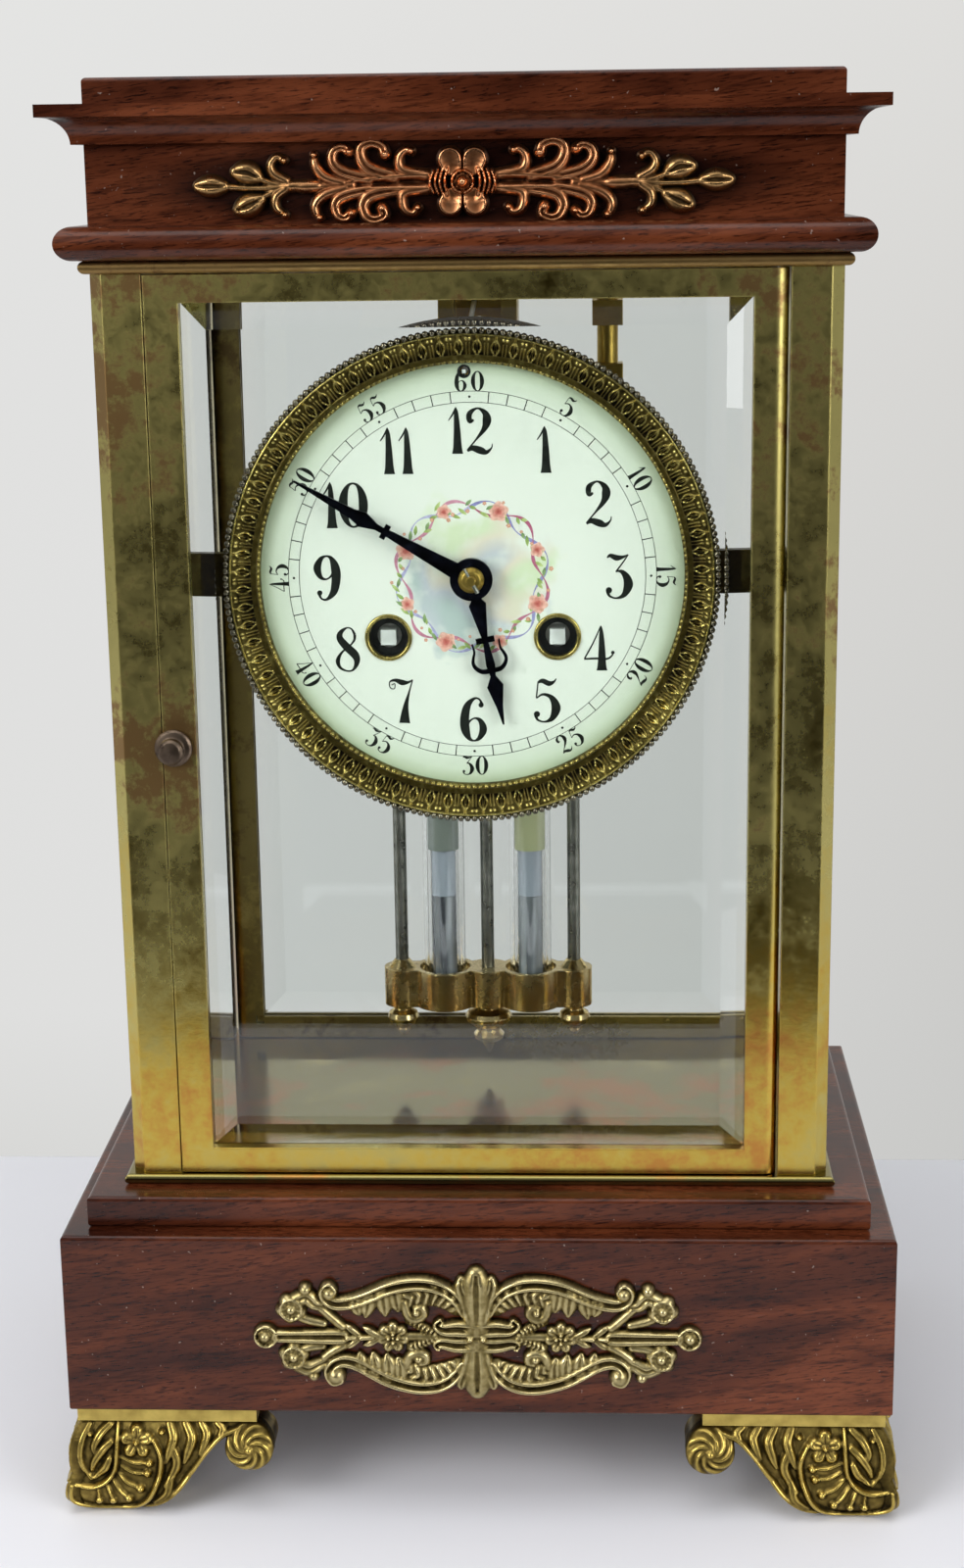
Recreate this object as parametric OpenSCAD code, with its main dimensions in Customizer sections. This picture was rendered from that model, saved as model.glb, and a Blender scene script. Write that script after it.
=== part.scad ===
// Four-glass mantel clock: wooden base and top, brass case with two glazed doors,
// striking movement with a round dial, and a two-jar mercury pendulum.
// Origin at the middle of the footprint, on the surface that the feet stand on.
// The dial faces -Y.

/* [Wooden base] */
// Width of the plinth
plinth_w = 204; // [198:1:214]
// Height of the plinth
plinth_h = 46.8; // [42:0.1:54]
// How far the step stands back from the plinth's edge
step_setback = 5.9; // [4:0.1:8]
// Height of the step
step_h = 7.8; // [5:0.1:12]
// Rounding along the edges of the woodwork
wood_round = 1; // [0.6:0.1:1.5]

/* [Feet] */
// Height of the cast scroll feet
foot_h = 24.5; // [22:0.1:28]
// Thickness of the flat plate on each foot
foot_plate_t = 3.5; // [2:0.1:5]
// Length of the plate along each side
foot_plate_len = 45; // [42:0.5:50]
// Width of the plate's two arms
foot_plate_arm = 13; // [11:0.5:16]
// How far the plate stands back from the plinth's edge
foot_inset = 1.5; // [1:0.1:2.5]
// Thickness of each wing of the casting
foot_wing_t = 9; // [8:0.1:11]
// Radius of the scroll at the end of each wing
foot_scroll_r = 5.8; // [5:0.1:6.2]

/* [Brass case] */
// Width over the corner posts
case_w = 172.5; // [166:0.5:178]
// Depth over the corner posts
case_d = 105.5; // [102:0.5:114]
// Height of the corner posts
case_h = 220; // [212:0.5:232]
// Side of the square corner posts
post_s = 12.2; // [11.5:0.1:13.5]
// Chamfer on the outer corner of each post
post_chamfer = 3; // [2:0.1:4]
// Thickness of the bottom plate
base_plate_t = 2.5; // [2:0.1:4]
// Thickness of the top plate
top_plate_t = 3; // [2:0.1:4]
// How far both plates stand out from the posts
plate_over = 1.8; // [1:0.1:3]
// Height of the rails at the top and bottom of the side panes
side_rail_h = 6.6; // [5:0.1:8]
// Thickness of those rails
side_rail_t = 8; // [7:0.1:9]

/* [Doors and glass] */
// Width of a door's stiles
stile_w = 8; // [7.5:0.1:9]
// Height of a door's rails
rail_h = 6.4; // [5.5:0.1:8]
// Thickness of a door
door_t = 6; // [5.6:0.1:7]
// Gap round a door
door_gap = 0.3; // [0.2:0.05:0.5]
// Thickness of the panes
glass_t = 4.2; // [3.8:0.1:4.6]
// Thickness of a pane at its bevelled edge
glass_edge_t = 1.8; // [1.2:0.1:2.4]
// Width of the bevel
bevel_w = 6; // [4:0.1:8]
// How far the side panes' middles stand out from the posts
side_proud = 0.8; // [0.4:0.1:1.2]
// How far a pane's edge reaches into its frame
glass_seat = 2.4; // [2:0.1:3]
// Gap round the edge of a pane in its seat
glass_gap = 0.1; // [0.05:0.01:0.2]
// Radius of the hinge pins
hinge_pin_r = 1.2; // [1:0.1:1.4]
// Height of the door knobs above the case's floor
knob_h = 109; // [90:1:125]
// Radius of a knob's flange
knob_flange_r = 4.5; // [4:0.1:5]
// Radius of a knob's button
knob_button_r = 3.1; // [2.5:0.1:3.5]
// Radius of a knob's spindle
knob_spindle_r = 1.1; // [0.9:0.05:1.2]

/* [Wooden top] */
// How far the lower moulding stands out from the posts
torus_over = 6.3; // [4:0.1:8]
// Height of the lower moulding
torus_h = 7.7; // [6:0.1:9]
// How far the frieze stands back from the posts
frieze_back = 0.6; // [0:0.1:2]
// Height of the frieze
frieze_h = 17.9; // [16:0.1:22]
// How far the cornice stands out from the posts
cornice_over = 8.5; // [7:0.1:11]
// Height of the cornice's hollow
cavetto_h = 5.9; // [4:0.1:7]
// Step between the hollow and the edge over it
cavetto_quirk = 0.7; // [0.4:0.1:1.2]
// Height of the edge over the hollow
fillet_h = 2.8; // [2:0.1:4]
// How far the top board stands back from the posts
cap_back = 0.7; // [0:0.1:2]
// Height of the top board
cap_h = 5.9; // [4:0.1:8]

/* [Mounts on the wood] */
// Thickness of both cast mounts
mount_t = 2.4; // [1.5:0.1:3.5]
// Half width of the mount on the plinth
base_mount_half = 55; // [50:0.5:60]
// Half width of the mount on the frieze
top_mount_half = 60.3; // [56:0.1:66]

/* [Dial] */
// Distance of the dial's centre below the case's roof
center_drop = 72.8; // [70:0.1:78]
// Distance from the front of the case back to the dial's back
dial_back = 17.75; // [17.2:0.05:18.2]
// Distance from the front plate's face to the dial's back
dial_stand = 7; // [6.9:0.05:7.4]
// Thickness of the dial
dial_t = 1.5; // [1.2:0.1:2]
// Radius of the dial that shows inside the bezel
dial_show_r = 50.8; // [49:0.1:52]
// Outer radius of the bezel
bezel_r = 59.5; // [58.6:0.1:61]
// How far the bezel stands in front of the drum
bezel_rise = 3; // [2:0.1:3.6]
// Outer radius of the drum behind the bezel
drum_r = 57.5; // [56.6:0.1:58]
// Wall of the drum
drum_wall = 1.2; // [0.8:0.1:1.6]
// Radius of the winding holes in the dial
winding_hole_r = 5.1; // [4.7:0.1:5.4]
// Length of the minute hand
minute_hand_len = 48; // [44:0.5:50]
// Length of the hour hand
hour_hand_len = 36.5; // [33:0.5:39]
// Thickness of the hands
hand_t = 0.8; // [0.5:0.1:1]
// Radius of the hands' round boss
hand_boss_r = 5.1; // [4.4:0.1:5.6]

/* [Movement] */
// Radius of the two round plates
plate_r = 44; // [43.8:0.1:46]
// Thickness of the plates
plate_t = 2.2; // [1.8:0.1:2.6]
// Distance between the plates
plate_gap = 32; // [31.6:0.1:34]
// Radius of the centre arbor
center_arbor_r = 1.2; // [1:0.05:1.25]
// Radius of the other arbors
arbor_r = 0.75; // [0.7:0.01:0.77]
// Radius of their pivots
pivot_r = 0.45; // [0.4:0.01:0.55]
// Gap of a turning piece in its hole
running_gap = 0.05; // [0.03:0.01:0.08]
// End shake of an arbor between the plates
end_shake = 0.2; // [0.1:0.05:0.3]
// Sideways distance of the winding arbors from the centre
winding_x = 20.4; // [20.2:0.1:20.8]
// Distance of the winding arbors below the centre
winding_drop = 14.6; // [14.2:0.1:15]
// Radius of the barrels' drums
barrel_r = 17; // [16.5:0.1:17.2]
// Radius of the barrel arbors
barrel_arbor_r = 2.9; // [2.6:0.05:3.1]
// Side of the winding squares
winding_square = 3.7; // [3.3:0.1:3.7]
// Height of the escape wheel's centre above the dial's centre
escape_rise = 26; // [25.9:0.05:26.1]
// Height of the pallet arbor above the escape wheel
pallet_rise = 12.5; // [12.3:0.1:13]
// Height of the bars that carry the movement
strap_h = 10.5; // [9:0.1:12]
// Thickness of those bars
strap_t = 3; // [2.5:0.1:3.4]

/* [Pendulum] */
// Distance from the middle of the case back to the pendulum
pendulum_y = 21; // [20:0.1:22]
// Height of the bob's block above the case's floor
bob_rise = 19.9; // [17:0.1:24]
// Height of the bob's block
bob_h = 10.5; // [9:0.1:12]
// Length of the jars above the block
jar_len = 62; // [54:0.5:64]
// Outer radius of the jars
jar_r = 5.6; // [5:0.1:6]
// Wall of the jars
jar_wall = 1.2; // [0.9:0.1:1.5]
// Gap between each jar and the tube that stands in it
vial_gap = 0.5; // [0.3:0.05:0.7]
// Wall of that tube
vial_wall = 0.6; // [0.4:0.05:0.8]
// Length of that tube
vial_len = 36.5; // [32:0.5:44]
// Height of the bright column in each tube
mercury_h = 23; // [15:0.5:30]
// Sideways distance of the jars from the rod
jar_x = 11.7; // [11.2:0.1:12.2]
// Sideways distance of the side rods from the middle rod
side_rod_x = 23.5; // [22.8:0.1:25]
// Radius of the steel rods
rod_r = 1.75; // [1.5:0.05:2]

/* [Gong] */
// Distance from the back of the case forward to the gong
gong_back = 16.75; // [15.8:0.05:17.7]
// Radius of the gong's wire
gong_wire_r = 1.2; // [1:0.1:1.4]
// Radius of the gong's outer turn
gong_r = 33; // [31:0.5:34]
// Step from one turn to the next
gong_step = 5; // [4.5:0.1:5.4]
// Number of turns
gong_turns = 4; // [3:1:4]
// Radius of the post that hangs the gong
gong_post_r = 2.75; // [2.4:0.05:3]

/* [Hidden] */
$fn = 64;

// Colours
wood = "#4a1d16";
brass = "#a8863c";
dark_brass = "#6e5a2e";
copper = "#a4613a";
steel = "#8d9094";
blued = "#15161c";
enamel = "#eef5e6";
pane = [0.78, 0.9, 0.86, 0.35];
quicksilver = "#c9ccd2";

// Heights of the tiers, from the floor up
plinth_z = foot_h + foot_plate_t;
step_z = plinth_z + plinth_h;
base_plate_z = step_z + step_h;
floor_z = base_plate_z + base_plate_t;
roof_z = floor_z + case_h;
torus_z = roof_z + top_plate_t;
frieze_z = torus_z + torus_h;
cornice_z = frieze_z + frieze_h;
center_z = roof_z - center_drop;

// Plan of the case
plinth_d = plinth_w - case_w + case_d;
door_w = case_w - 2 * post_s - 2 * door_gap;
door_y = case_d / 2 - door_t;
door_h = case_h - 2 * door_gap;
opening_w = door_w - 2 * stile_w;
opening_h = door_h - 2 * rail_h;
side_open_d = case_d - 2 * post_s;
side_open_h = case_h - 2 * side_rail_h;
seam = 0.01;

// Door furniture
hinge_x = door_w / 2 - door_t / 2;
hinge_y = door_y + door_t / 2;
hinge_pin_in = 4;
knob_x = door_w / 2 - 2.6;
knob_z = floor_z + knob_h;
latch_len = 5.4;
latch_h = 3.4;
latch_t = 1.5;
glass_back = 1.2;
side_seat = glass_t - side_proud;

// Depths of the movement, as distances forward of the middle of the case
dial_w = case_d / 2 - dial_back;
plate_w = dial_w - dial_stand;
plate_in_w = plate_w - plate_t;
back_in_w = plate_in_w - plate_gap;
back_out_w = back_in_w - plate_t;
dial_face_w = dial_w + dial_t;
drum_front_w = dial_face_w + 3.4;
bezel_front_w = drum_front_w + bezel_rise;
hour_hand_w = dial_face_w + 1.4;
minute_hand_w = hour_hand_w + hand_t + 1.2;
flange_t = 1;
flange_in_r = 34;

// Teeth: module of each mesh, and tooth counts
pinion_n = 7;
great_m = 0.52;
great_n = 70;
second_m = 0.5;
second_n = 56;
center_m = 0.36;
center_n = 70;
third_m = 0.32;
third_n = 70;
strike_second_m = 0.46;
pin_m = 0.34;
pin_n = 56;
warning_m = 0.3;
warning_n = 42;
escape_n = 48;
escape_r = 9;
cannon_n = 12;
minute_n = 36;
minute_pinion_n = 10;
hour_n = 40;
motion_m = 0.6;
hour_m = motion_m * (cannon_n + minute_n) / (minute_pinion_n + hour_n);
pressure = 25;
wheel_add = 0.6;
wheel_ded = 1.15;
pinion_add = 0.7;
pinion_ded = 0.9;
backlash = 0.07;
wheel_t = 1.2;
pinion_t = 3;

// Depth of each wheel behind the front plate
center_d = 1.2;
second_d = 3.6;
strike_second_d = 6;
great_d = 8.4;
great_t = 2;
barrel_end_d = 26.4;
barrel_wall = 1.1;
third_d = 11.5;
pin_d = 14.5;
warning_d = 18;
escape_d = 28.4;

// Arbor places, right and up from the dial's centre, each set by the mesh with the one before
function mesh_reach(m, wheel, pinion) = m * (wheel + pinion) / 2;
function along(p, a, r) = p + r * [cos(a), sin(a)];
function bearing(p, q) = atan2(q[1] - p[1], q[0] - p[0]);
function meet(p, a, q, b, side) =
    let (gap = norm(q - p), x = (a * a - b * b + gap * gap) / (2 * gap))
    let (h = sqrt(a * a - x * x), e = (q - p) / gap)
    p + x * e + side * h * [-e[1], e[0]];

center_p = [0, 0];
going_p = [winding_x, -winding_drop];
strike_p = [-winding_x, -winding_drop];
great_reach = mesh_reach(great_m, great_n, pinion_n);
second_p = meet(going_p, great_reach, center_p, mesh_reach(second_m, second_n, pinion_n), -1);
escape_p = [0, escape_rise];
pallet_p = [0, escape_rise + pallet_rise];
third_reach = mesh_reach(center_m, center_n, pinion_n);
third_p = meet(center_p, third_reach, escape_p, mesh_reach(third_m, third_n, pinion_n), -1);
strike_second_p = along(strike_p, 87.9, great_reach);
pin_p = along(strike_second_p, 70.5, mesh_reach(strike_second_m, second_n, pinion_n));
warning_p = along(pin_p, 90.3, mesh_reach(pin_m, pin_n, pinion_n));
fly_p = along(warning_p, 195.5, mesh_reach(warning_m, warning_n, pinion_n));
minute_p = along(center_p, 90, motion_m * (cannon_n + minute_n) / 2);
hammer_p = [-33, 24];
lift_pin_r = 0.45;
pin_len = 1.4;
pin_at = pin_m * pin_n / 2 - 1.7;
regulator_p = [-1.2, 48.8];
pillar_r = 3;
pillar_at = 39.5;
pillar_angles = [20, 64, 165, 270];
ratchet_n = 20;
ratchet_r = 7.4;
click_stud_r = 1;
function click_pivot(s) = [s * (winding_x + 10.2), 5.2 - winding_drop];
cannon_pipe_r = 2;
hour_pipe_r = 3;
regulator_r = 0.65;

// Pendulum heights
pallet_z = center_z + pallet_p[1];
bob_z = floor_z + bob_rise;
jar_z = bob_z + bob_h;
bridge_z = jar_z + jar_len;
bridge_t = 5;
jar_sunk = 4;
vial_r = jar_r - jar_wall - vial_gap;
mercury_r = vial_r - vial_wall;
vial_z = jar_z - jar_sunk + jar_wall;
vial_top_z = vial_z + vial_len;
mercury_z = vial_z + 0.5;
rod_top_z = pallet_z - 9;
nut_gap = 0.3;

// Small shared shapes

// Board with round edges of radius r, mitred at all four corners
module mitred(w, d, z, h, r) {
    translate([0, 0, z])
    intersection() {
        translate([0, d, 0]) rotate([90, 0, 0]) linear_extrude(2 * d) edge_outline(w, h, r);
        translate([-w, 0, 0]) rotate([90, 0, 90]) linear_extrude(2 * w) edge_outline(d, h, r);
    }
}

// Cross-section w wide and h high with corners of radius r
module edge_outline(w, h, r) {
    translate([-w / 2, r]) square([w, h - 2 * r]);
    translate([-w / 2 + r, 0]) square([w - 2 * r, h]);
    for (x = [-1, 1], y = [r, h - r]) translate([x * (w / 2 - r), y]) circle(r);
}

// Cross-section that flares from a hollow at each side, w wide at the top
module hollow_outline(w, h) {
    difference() {
        translate([-w / 2, 0]) square([w, h]);
        for (s = [-1, 1]) translate([s * w / 2, 0]) circle(h);
    }
}

// Plain box centred on the case, from z up
module tier(w, d, z, h) {
    translate([-w / 2, -d / 2, z]) cube([w, d, h]);
}

function bezier(p, n) = [
    for (i = [0:n])
        let (t = i / n, s = 1 - t)
        s * s * s * p[0] + 3 * s * s * t * p[1] + 3 * s * t * t * p[2] + t * t * t * p[3]
];

// Smooth curve through the points p, with n steps between each pair
function curve(p, n) = [
    for (i = [0:len(p) - 2], k = [0:n - 1])
        let (a = p[max(i - 1, 0)], b = p[i], c = p[i + 1], d = p[min(i + 2, len(p) - 1)], t = k / n)
        b + t / 2 * (c - a + t * (2 * a - 5 * b + 4 * c - d + t * (3 * b - 3 * c + d - a))),
    p[len(p) - 1]
];

// Flat stem along the points p that goes from width w0 to w1, with round ends
module stem(p, w0, w1) {
    c = curve(p, 4);
    last = len(c) - 1;
    function head(i) = bearing(c[max(i - 1, 0)], c[min(i + 1, last)]);
    function half(i) = (w0 + (w1 - w0) * i / last) / 2;
    polygon(concat(
        [for (i = [0:last]) along(c[i], head(i) - 90, half(i))],
        [for (a = [-60:30:60]) along(c[last], head(last) + a, half(last))],
        [for (i = [last:-1:0]) along(c[i], head(i) + 90, half(i))],
        [for (a = [120:30:240]) along(c[0], head(0) + a, half(0))]
    ));
}

// Points p with their sideways places multiplied by k
function spread(p, k) = [for (q = p) [k * q[0], q[1]]];

// Places a shape at arbor p with its Z axis forward, starting w forward of the middle
module on_arbor(p, w) {
    translate([p[0], -w, center_z + p[1]]) rotate([90, 0, 0]) children();
}

// Flat shape t thick that starts d behind the front plate
module at_depth(p, d, t) {
    on_arbor(p, plate_in_w - d - t) linear_extrude(t) children();
}

function involute(r, base) =
    let (a = acos(min(1, base / r)))
    tan(a) * 180 / PI - a;

// Tooth outline as [radius, half angle] pairs from root to tip
function flank(m, n, add, ded, steps) =
    let (pitch = m * n / 2, base = pitch * cos(pressure), root = pitch - ded * m)
    let (tip = pitch + add * m, start = max(base, root))
    let (half = 90 / n - backlash / pitch * 180 / PI + involute(pitch, base))
    let (radii = [for (i = [0:steps]) start + (tip - start) * i / steps])
    concat(
        root < base ? [[root, half]] : [],
        [for (r = radii) [r, half - involute(r, base)]]
    );

module toothed(m, n, add, ded, steps, turn) {
    side = flank(m, n, add, ded, steps);
    last = len(side) - 1;
    polygon([
        for (k = [0:n - 1])
            let (mid = turn + 360 * k / n)
            each concat(
                [for (i = [0:last]) along([0, 0], mid - side[i][1], side[i][0])],
                [for (i = [last:-1:0]) along([0, 0], mid + side[i][1], side[i][0])]
            )
    ]);
}

// Crossed-out wheel with its tooth at the angle turn
module wheel(m, n, turn, spokes, hub) {
    rim = m * n / 2 - 1.15 * m - 1.2;
    difference() {
        toothed(m, n, wheel_add, wheel_ded, 2, turn);
        if (spokes > 0)
            for (k = [0:spokes - 1])
                let (mid = 360 * (k + 0.5) / spokes, half = 180 / spokes)
                let (out = half - asin(0.9 / rim), in = half - asin(0.9 / hub))
                polygon(concat(
                    [for (i = [-3:3]) along([0, 0], mid + out * i / 3, rim)],
                    [for (i = [3:-1:-3]) along([0, 0], mid + in * i / 3, hub)]
                ));
    }
}

// Pinion whose gap faces back along the angle from its wheel
module pinion(m, n, from) {
    toothed(m, n, pinion_add, pinion_ded, 3, from + 180 + 180 / n);
}

// Arbor between the plates with a pivot at each end
module arbor(p) {
    on_arbor(p, back_in_w + end_shake) cylinder(h = plate_gap - 2 * end_shake, r = arbor_r);
    on_arbor(p, back_out_w) cylinder(h = plate_gap + 2 * plate_t, r = pivot_r);
}

// Woodwork

module plinth() {
    color(wood) mitred(plinth_w, plinth_d, plinth_z, plinth_h, wood_round);
}

module base_step() {
    back = 2 * step_setback;
    color(wood) mitred(plinth_w - back, plinth_d - back, step_z, step_h, wood_round);
}

module top_torus() {
    out = 2 * torus_over;
    color(wood) mitred(case_w + out, case_d + out, torus_z, torus_h, torus_h / 2 - seam);
}

module top_frieze() {
    color(wood) tier(case_w - 2 * frieze_back, case_d - 2 * frieze_back, frieze_z, frieze_h);
}

module top_cornice() {
    w = case_w + 2 * cornice_over;
    d = case_d + 2 * cornice_over;
    cap_w = case_w - 2 * cap_back;
    cap_d = case_d - 2 * cap_back;
    hollow_w = w - 2 * cavetto_quirk;
    hollow_d = d - 2 * cavetto_quirk;
    color(wood) {
        translate([0, 0, cornice_z])
        intersection() {
            translate([0, d, 0]) rotate([90, 0, 0]) linear_extrude(2 * d)
                hollow_outline(hollow_w, cavetto_h);
            translate([-w, 0, 0]) rotate([90, 0, 90]) linear_extrude(2 * w)
                hollow_outline(hollow_d, cavetto_h);
        }
        tier(w, d, cornice_z + cavetto_h, fillet_h);
        mitred(cap_w, cap_d, cornice_z + cavetto_h, fillet_h + cap_h, wood_round);
    }
}

// Feet: each casting is two scrolled wings that meet at the corner, under a flat plate

// Outer edge of a wing, from the plate down to the toe, as [inward, up]
foot_edge = concat(
    bezier([[3.5, foot_h], [0.2, foot_h - 3.5], [-0.6, foot_h - 10], [0.5, 10.8]], 6),
    bezier([[0.5, 10.8], [-1.7, 6.5], [-1.6, 1], [5, 0]], 8)
);

// Under edge of a wing, from the toe up to the scroll
foot_sweep = concat(
    bezier([[12, 0], [22, 0.6], [27, 6.5], [30.5, 11.5]], 8),
    bezier([[30.5, 11.5], [33.5, 16], [36, foot_h - 3.2], [foot_plate_len - 1, foot_h - 2.4]], 8)
);

module foot_wing() {
    scroll = [foot_plate_len - 0.2, foot_h - foot_scroll_r - 0.6];
    translate([0, foot_wing_t + foot_inset, 0]) rotate([90, 0, 0])
        linear_extrude(foot_wing_t + 4)
            polygon(concat(foot_edge, foot_sweep, [[foot_plate_len, foot_h]]));
    translate([scroll[0], foot_wing_t + foot_inset, scroll[1]]) rotate([90, 0, 0])
        cylinder(h = foot_wing_t - 0.4, r = foot_scroll_r);
    translate([scroll[0], foot_inset + 0.6, scroll[1]]) sphere(1.5);
}

// Room behind the outer face of a wing
module foot_depth() {
    translate([-4, 0, 0]) rotate([90, 0, 90]) linear_extrude(foot_plate_len + 12)
        polygon(concat(foot_edge, [[foot_wing_t + foot_inset, 0], [foot_wing_t + foot_inset, foot_h]]));
}

module foot_corner() {
    intersection() {
        foot_wing();
        foot_depth();
    }
    mirror([1, -1, 0]) intersection() {
        foot_wing();
        foot_depth();
    }
}

module foot_plate() {
    translate([foot_inset, foot_inset, foot_h]) {
        cube([foot_plate_len, foot_plate_arm, foot_plate_t]);
        cube([foot_plate_arm, foot_plate_len, foot_plate_t]);
    }
}

module feet() {
    color(brass)
    for (mx = [0, 1], my = [0, 1])
        mirror([mx, 0, 0]) mirror([0, my, 0])
        translate([plinth_w / 2, -plinth_d / 2, 0]) mirror([1, 0, 0]) {
            foot_corner();
            foot_plate();
        }
}

// Cast mounts

module petals(c, n, at, r) {
    translate(c) {
        circle(at * 0.8);
        for (k = [0:n - 1]) translate(along([0, 0], 90 + 360 * k / n, at)) circle(r);
    }
}

// Quarter of the mount on the plinth, spread sideways by k
module base_mount_quarter(k) {
    // Arch that ends in a curl, with the leaf inside it and three leaflets that hang from it
    stem(spread([
        [2, 6], [4.4, 9.1], [8.9, 12.9], [13.4, 14.2], [19.4, 12.9], [25.4, 10.6], [30.7, 8.8],
        [34.8, 8.3], [37.5, 10.4], [36.4, 13], [34, 12.6]
    ], k), 2.6, 1.7);
    stem(spread([[1, 2], [4.8, 5.4], [6.7, 8.4], [10.4, 10.6], [15.3, 10.3]], k), 3, 1.4);
    stem(spread([[18.6, 13], [20.4, 9], [20.9, 5.4]], k), 2.6, 1);
    stem(spread([[22.6, 11.6], [24, 8], [24.3, 5]], k), 2.4, 1);
    stem(spread([[26, 10.4], [27, 7.6], [26.9, 5.4]], k), 2.2, 1);
    // Forked middle leaf, and a twig with its flower
    stem(spread([[0, 0.6], [5, 1], [9, 2.4]], k), 4, 1.6);
    stem(spread([[10, 0.4], [12.4, 3], [15.3, 5.8]], k), 1.7, 1.5);
    petals([k * 15.3, 6], 5, 1.7, 1.1);
    // Stem of the outer flower, with a lobed leaf
    stem(spread([[32, 0.4], [33.7, 1.6], [36, 4.4], [38.9, 6.1], [43, 5.4]], k), 1.8, 1.6);
    stem(spread([[44, 6], [41.5, 7.4], [38.6, 9]], k), 2.6, 1.6);
    petals([k * 45.3, 5.2], 6, 2.3, 1.3);
    // Upright palmette with two pairs of lobes
    stem([[0, 2], [0, 9], [0, 16.4]], 5.4, 1.6);
    stem([[0.4, 7], [2.4, 10.2], [3.4, 12.4]], 3.2, 1.6);
    stem([[0.4, 3], [1.6, 5.4], [2.6, 7.2]], 3, 1.6);
}

module base_ornament() {
    k = base_mount_half / 55;
    color(brass)
    translate([0, -plinth_d / 2, plinth_z + plinth_h * 0.467]) rotate([90, 0, 0])
    linear_extrude(mount_t) {
        for (mx = [0, 1], my = [0, 1]) mirror([mx, 0]) mirror([0, my]) base_mount_quarter(k);
        for (mx = [0, 1]) mirror([mx, 0]) {
            stem(spread([[0, 0], [10, 0], [26, 0]], k), 2.2, 2.4);
            stem(spread([[25, 0], [33, 0], [48, 0], [51, 0]], k), 5.2, 3);
            petals([k * 20.2, 0], 7, 3.1, 1.7);
            translate([k * 51.8, 0]) circle(3.2);
        }
    }
}

// Quarter of the mount on the frieze: four scrolled tendrils, spread sideways by k
module top_mount_quarter(k) {
    stem(spread([[8, 0.4], [10.2, 2.8], [14.4, 4], [14.9, 6.1], [13.2, 7.3], [11.6, 6.8]], k), 2, 1.3);
    stem(spread([
        [13.5, 0.4], [15.8, 1.9], [20.4, 2.8], [22.7, 4.9], [22.5, 7], [20.4, 7.6], [18.2, 6.9]
    ], k), 2, 1.3);
    stem(spread([[20, 0.2], [23, 0.9], [27.2, 2.5], [29.4, 4.8], [28.8, 7.2], [26.4, 7.3]], k), 2, 1.2);
    stem(spread([[27, 0.2], [29, 0.5], [32.4, 1.8], [33.7, 4], [33.2, 6.4]], k), 2, 1);
    stem(spread([[37, 0.2], [40.8, 0.9], [43.1, 2.6], [42.9, 5.2], [40.4, 6]], k), 1.7, 1.2);
}

module top_ornament() {
    k = top_mount_half / 60.3;
    color(copper)
    translate([0, -case_d / 2 + frieze_back, frieze_z + frieze_h * 0.48]) rotate([90, 0, 0])
    linear_extrude(mount_t) {
        petals([0, 0], 6, 5, 3.1);
        for (mx = [0, 1]) mirror([mx, 0]) {
            for (my = [0, 1]) mirror([0, my]) top_mount_quarter(k);
            stem(spread([[4, 0], [16, 0], [31, 0]], k), 3.8, 1.6);
            stem(spread([[30, 0], [35.5, 0], [40, -0.1], [47, -0.6], [55, -0.8]], k), 2.6, 1.4);
            // Buds at the end
            stem(spread([[54.6, -0.7], [58.8, -0.4]], k), 3, 2.6);
            stem(spread([[43.6, -0.3], [46.2, 1.5], [49, 2.8]], k), 1.3, 1.3);
            stem(spread([[47.8, 2.5], [51, 3.2]], k), 3.2, 2.6);
            stem(spread([[43.6, -0.4], [45.8, -2.8], [48.4, -4.8]], k), 1.3, 1.3);
            stem(spread([[47.8, -4.6], [51, -5.4]], k), 3.2, 2.6);
        }
    }
}

// Brass case

module base_plate() {
    out = 2 * plate_over;
    color(brass) difference() {
        mitred(case_w + out, case_d + out, base_plate_z, base_plate_t, base_plate_t / 2 - seam);
        hinge_holes(base_plate_z - 1, base_plate_t + 2);
    }
}

module top_plate() {
    out = 2 * plate_over;
    color(brass) difference() {
        mitred(case_w + out, case_d + out, roof_z, top_plate_t, top_plate_t / 2 - seam);
        hinge_holes(roof_z - 1, top_plate_t + 2);
    }
}

// Holes that hold the hinge pins, at opposite corners of the two doors
module hinge_holes(z, h) {
    for (a = [0, 180]) rotate([0, 0, a])
        translate([hinge_x, -hinge_y, z]) cylinder(h = h, r = hinge_pin_r + seam);
}

module hinge_pins() {
    color(steel)
    for (a = [0, 180]) rotate([0, 0, a]) translate([hinge_x, -hinge_y, 0]) {
        translate([0, 0, base_plate_z]) cylinder(h = base_plate_t + hinge_pin_in, r = hinge_pin_r);
        translate([0, 0, roof_z - hinge_pin_in])
            cylinder(h = top_plate_t + hinge_pin_in, r = hinge_pin_r);
    }
}

// Post at the front right corner, with the outer corner cut off and a seat for the side pane
module post() {
    x = case_w / 2;
    y = -case_d / 2;
    translate([0, 0, floor_z]) linear_extrude(case_h)
        polygon([
            [x - post_s, y], [x - post_chamfer, y], [x, y + post_chamfer],
            [x, y + post_s - glass_seat], [x - side_seat, y + post_s - glass_seat],
            [x - side_seat, y + post_s], [x - post_s, y + post_s]
        ]);
}

module corner_posts() {
    color(brass)
    for (mx = [0, 1], my = [0, 1]) mirror([mx, 0, 0]) mirror([0, my, 0]) post();
}

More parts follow.
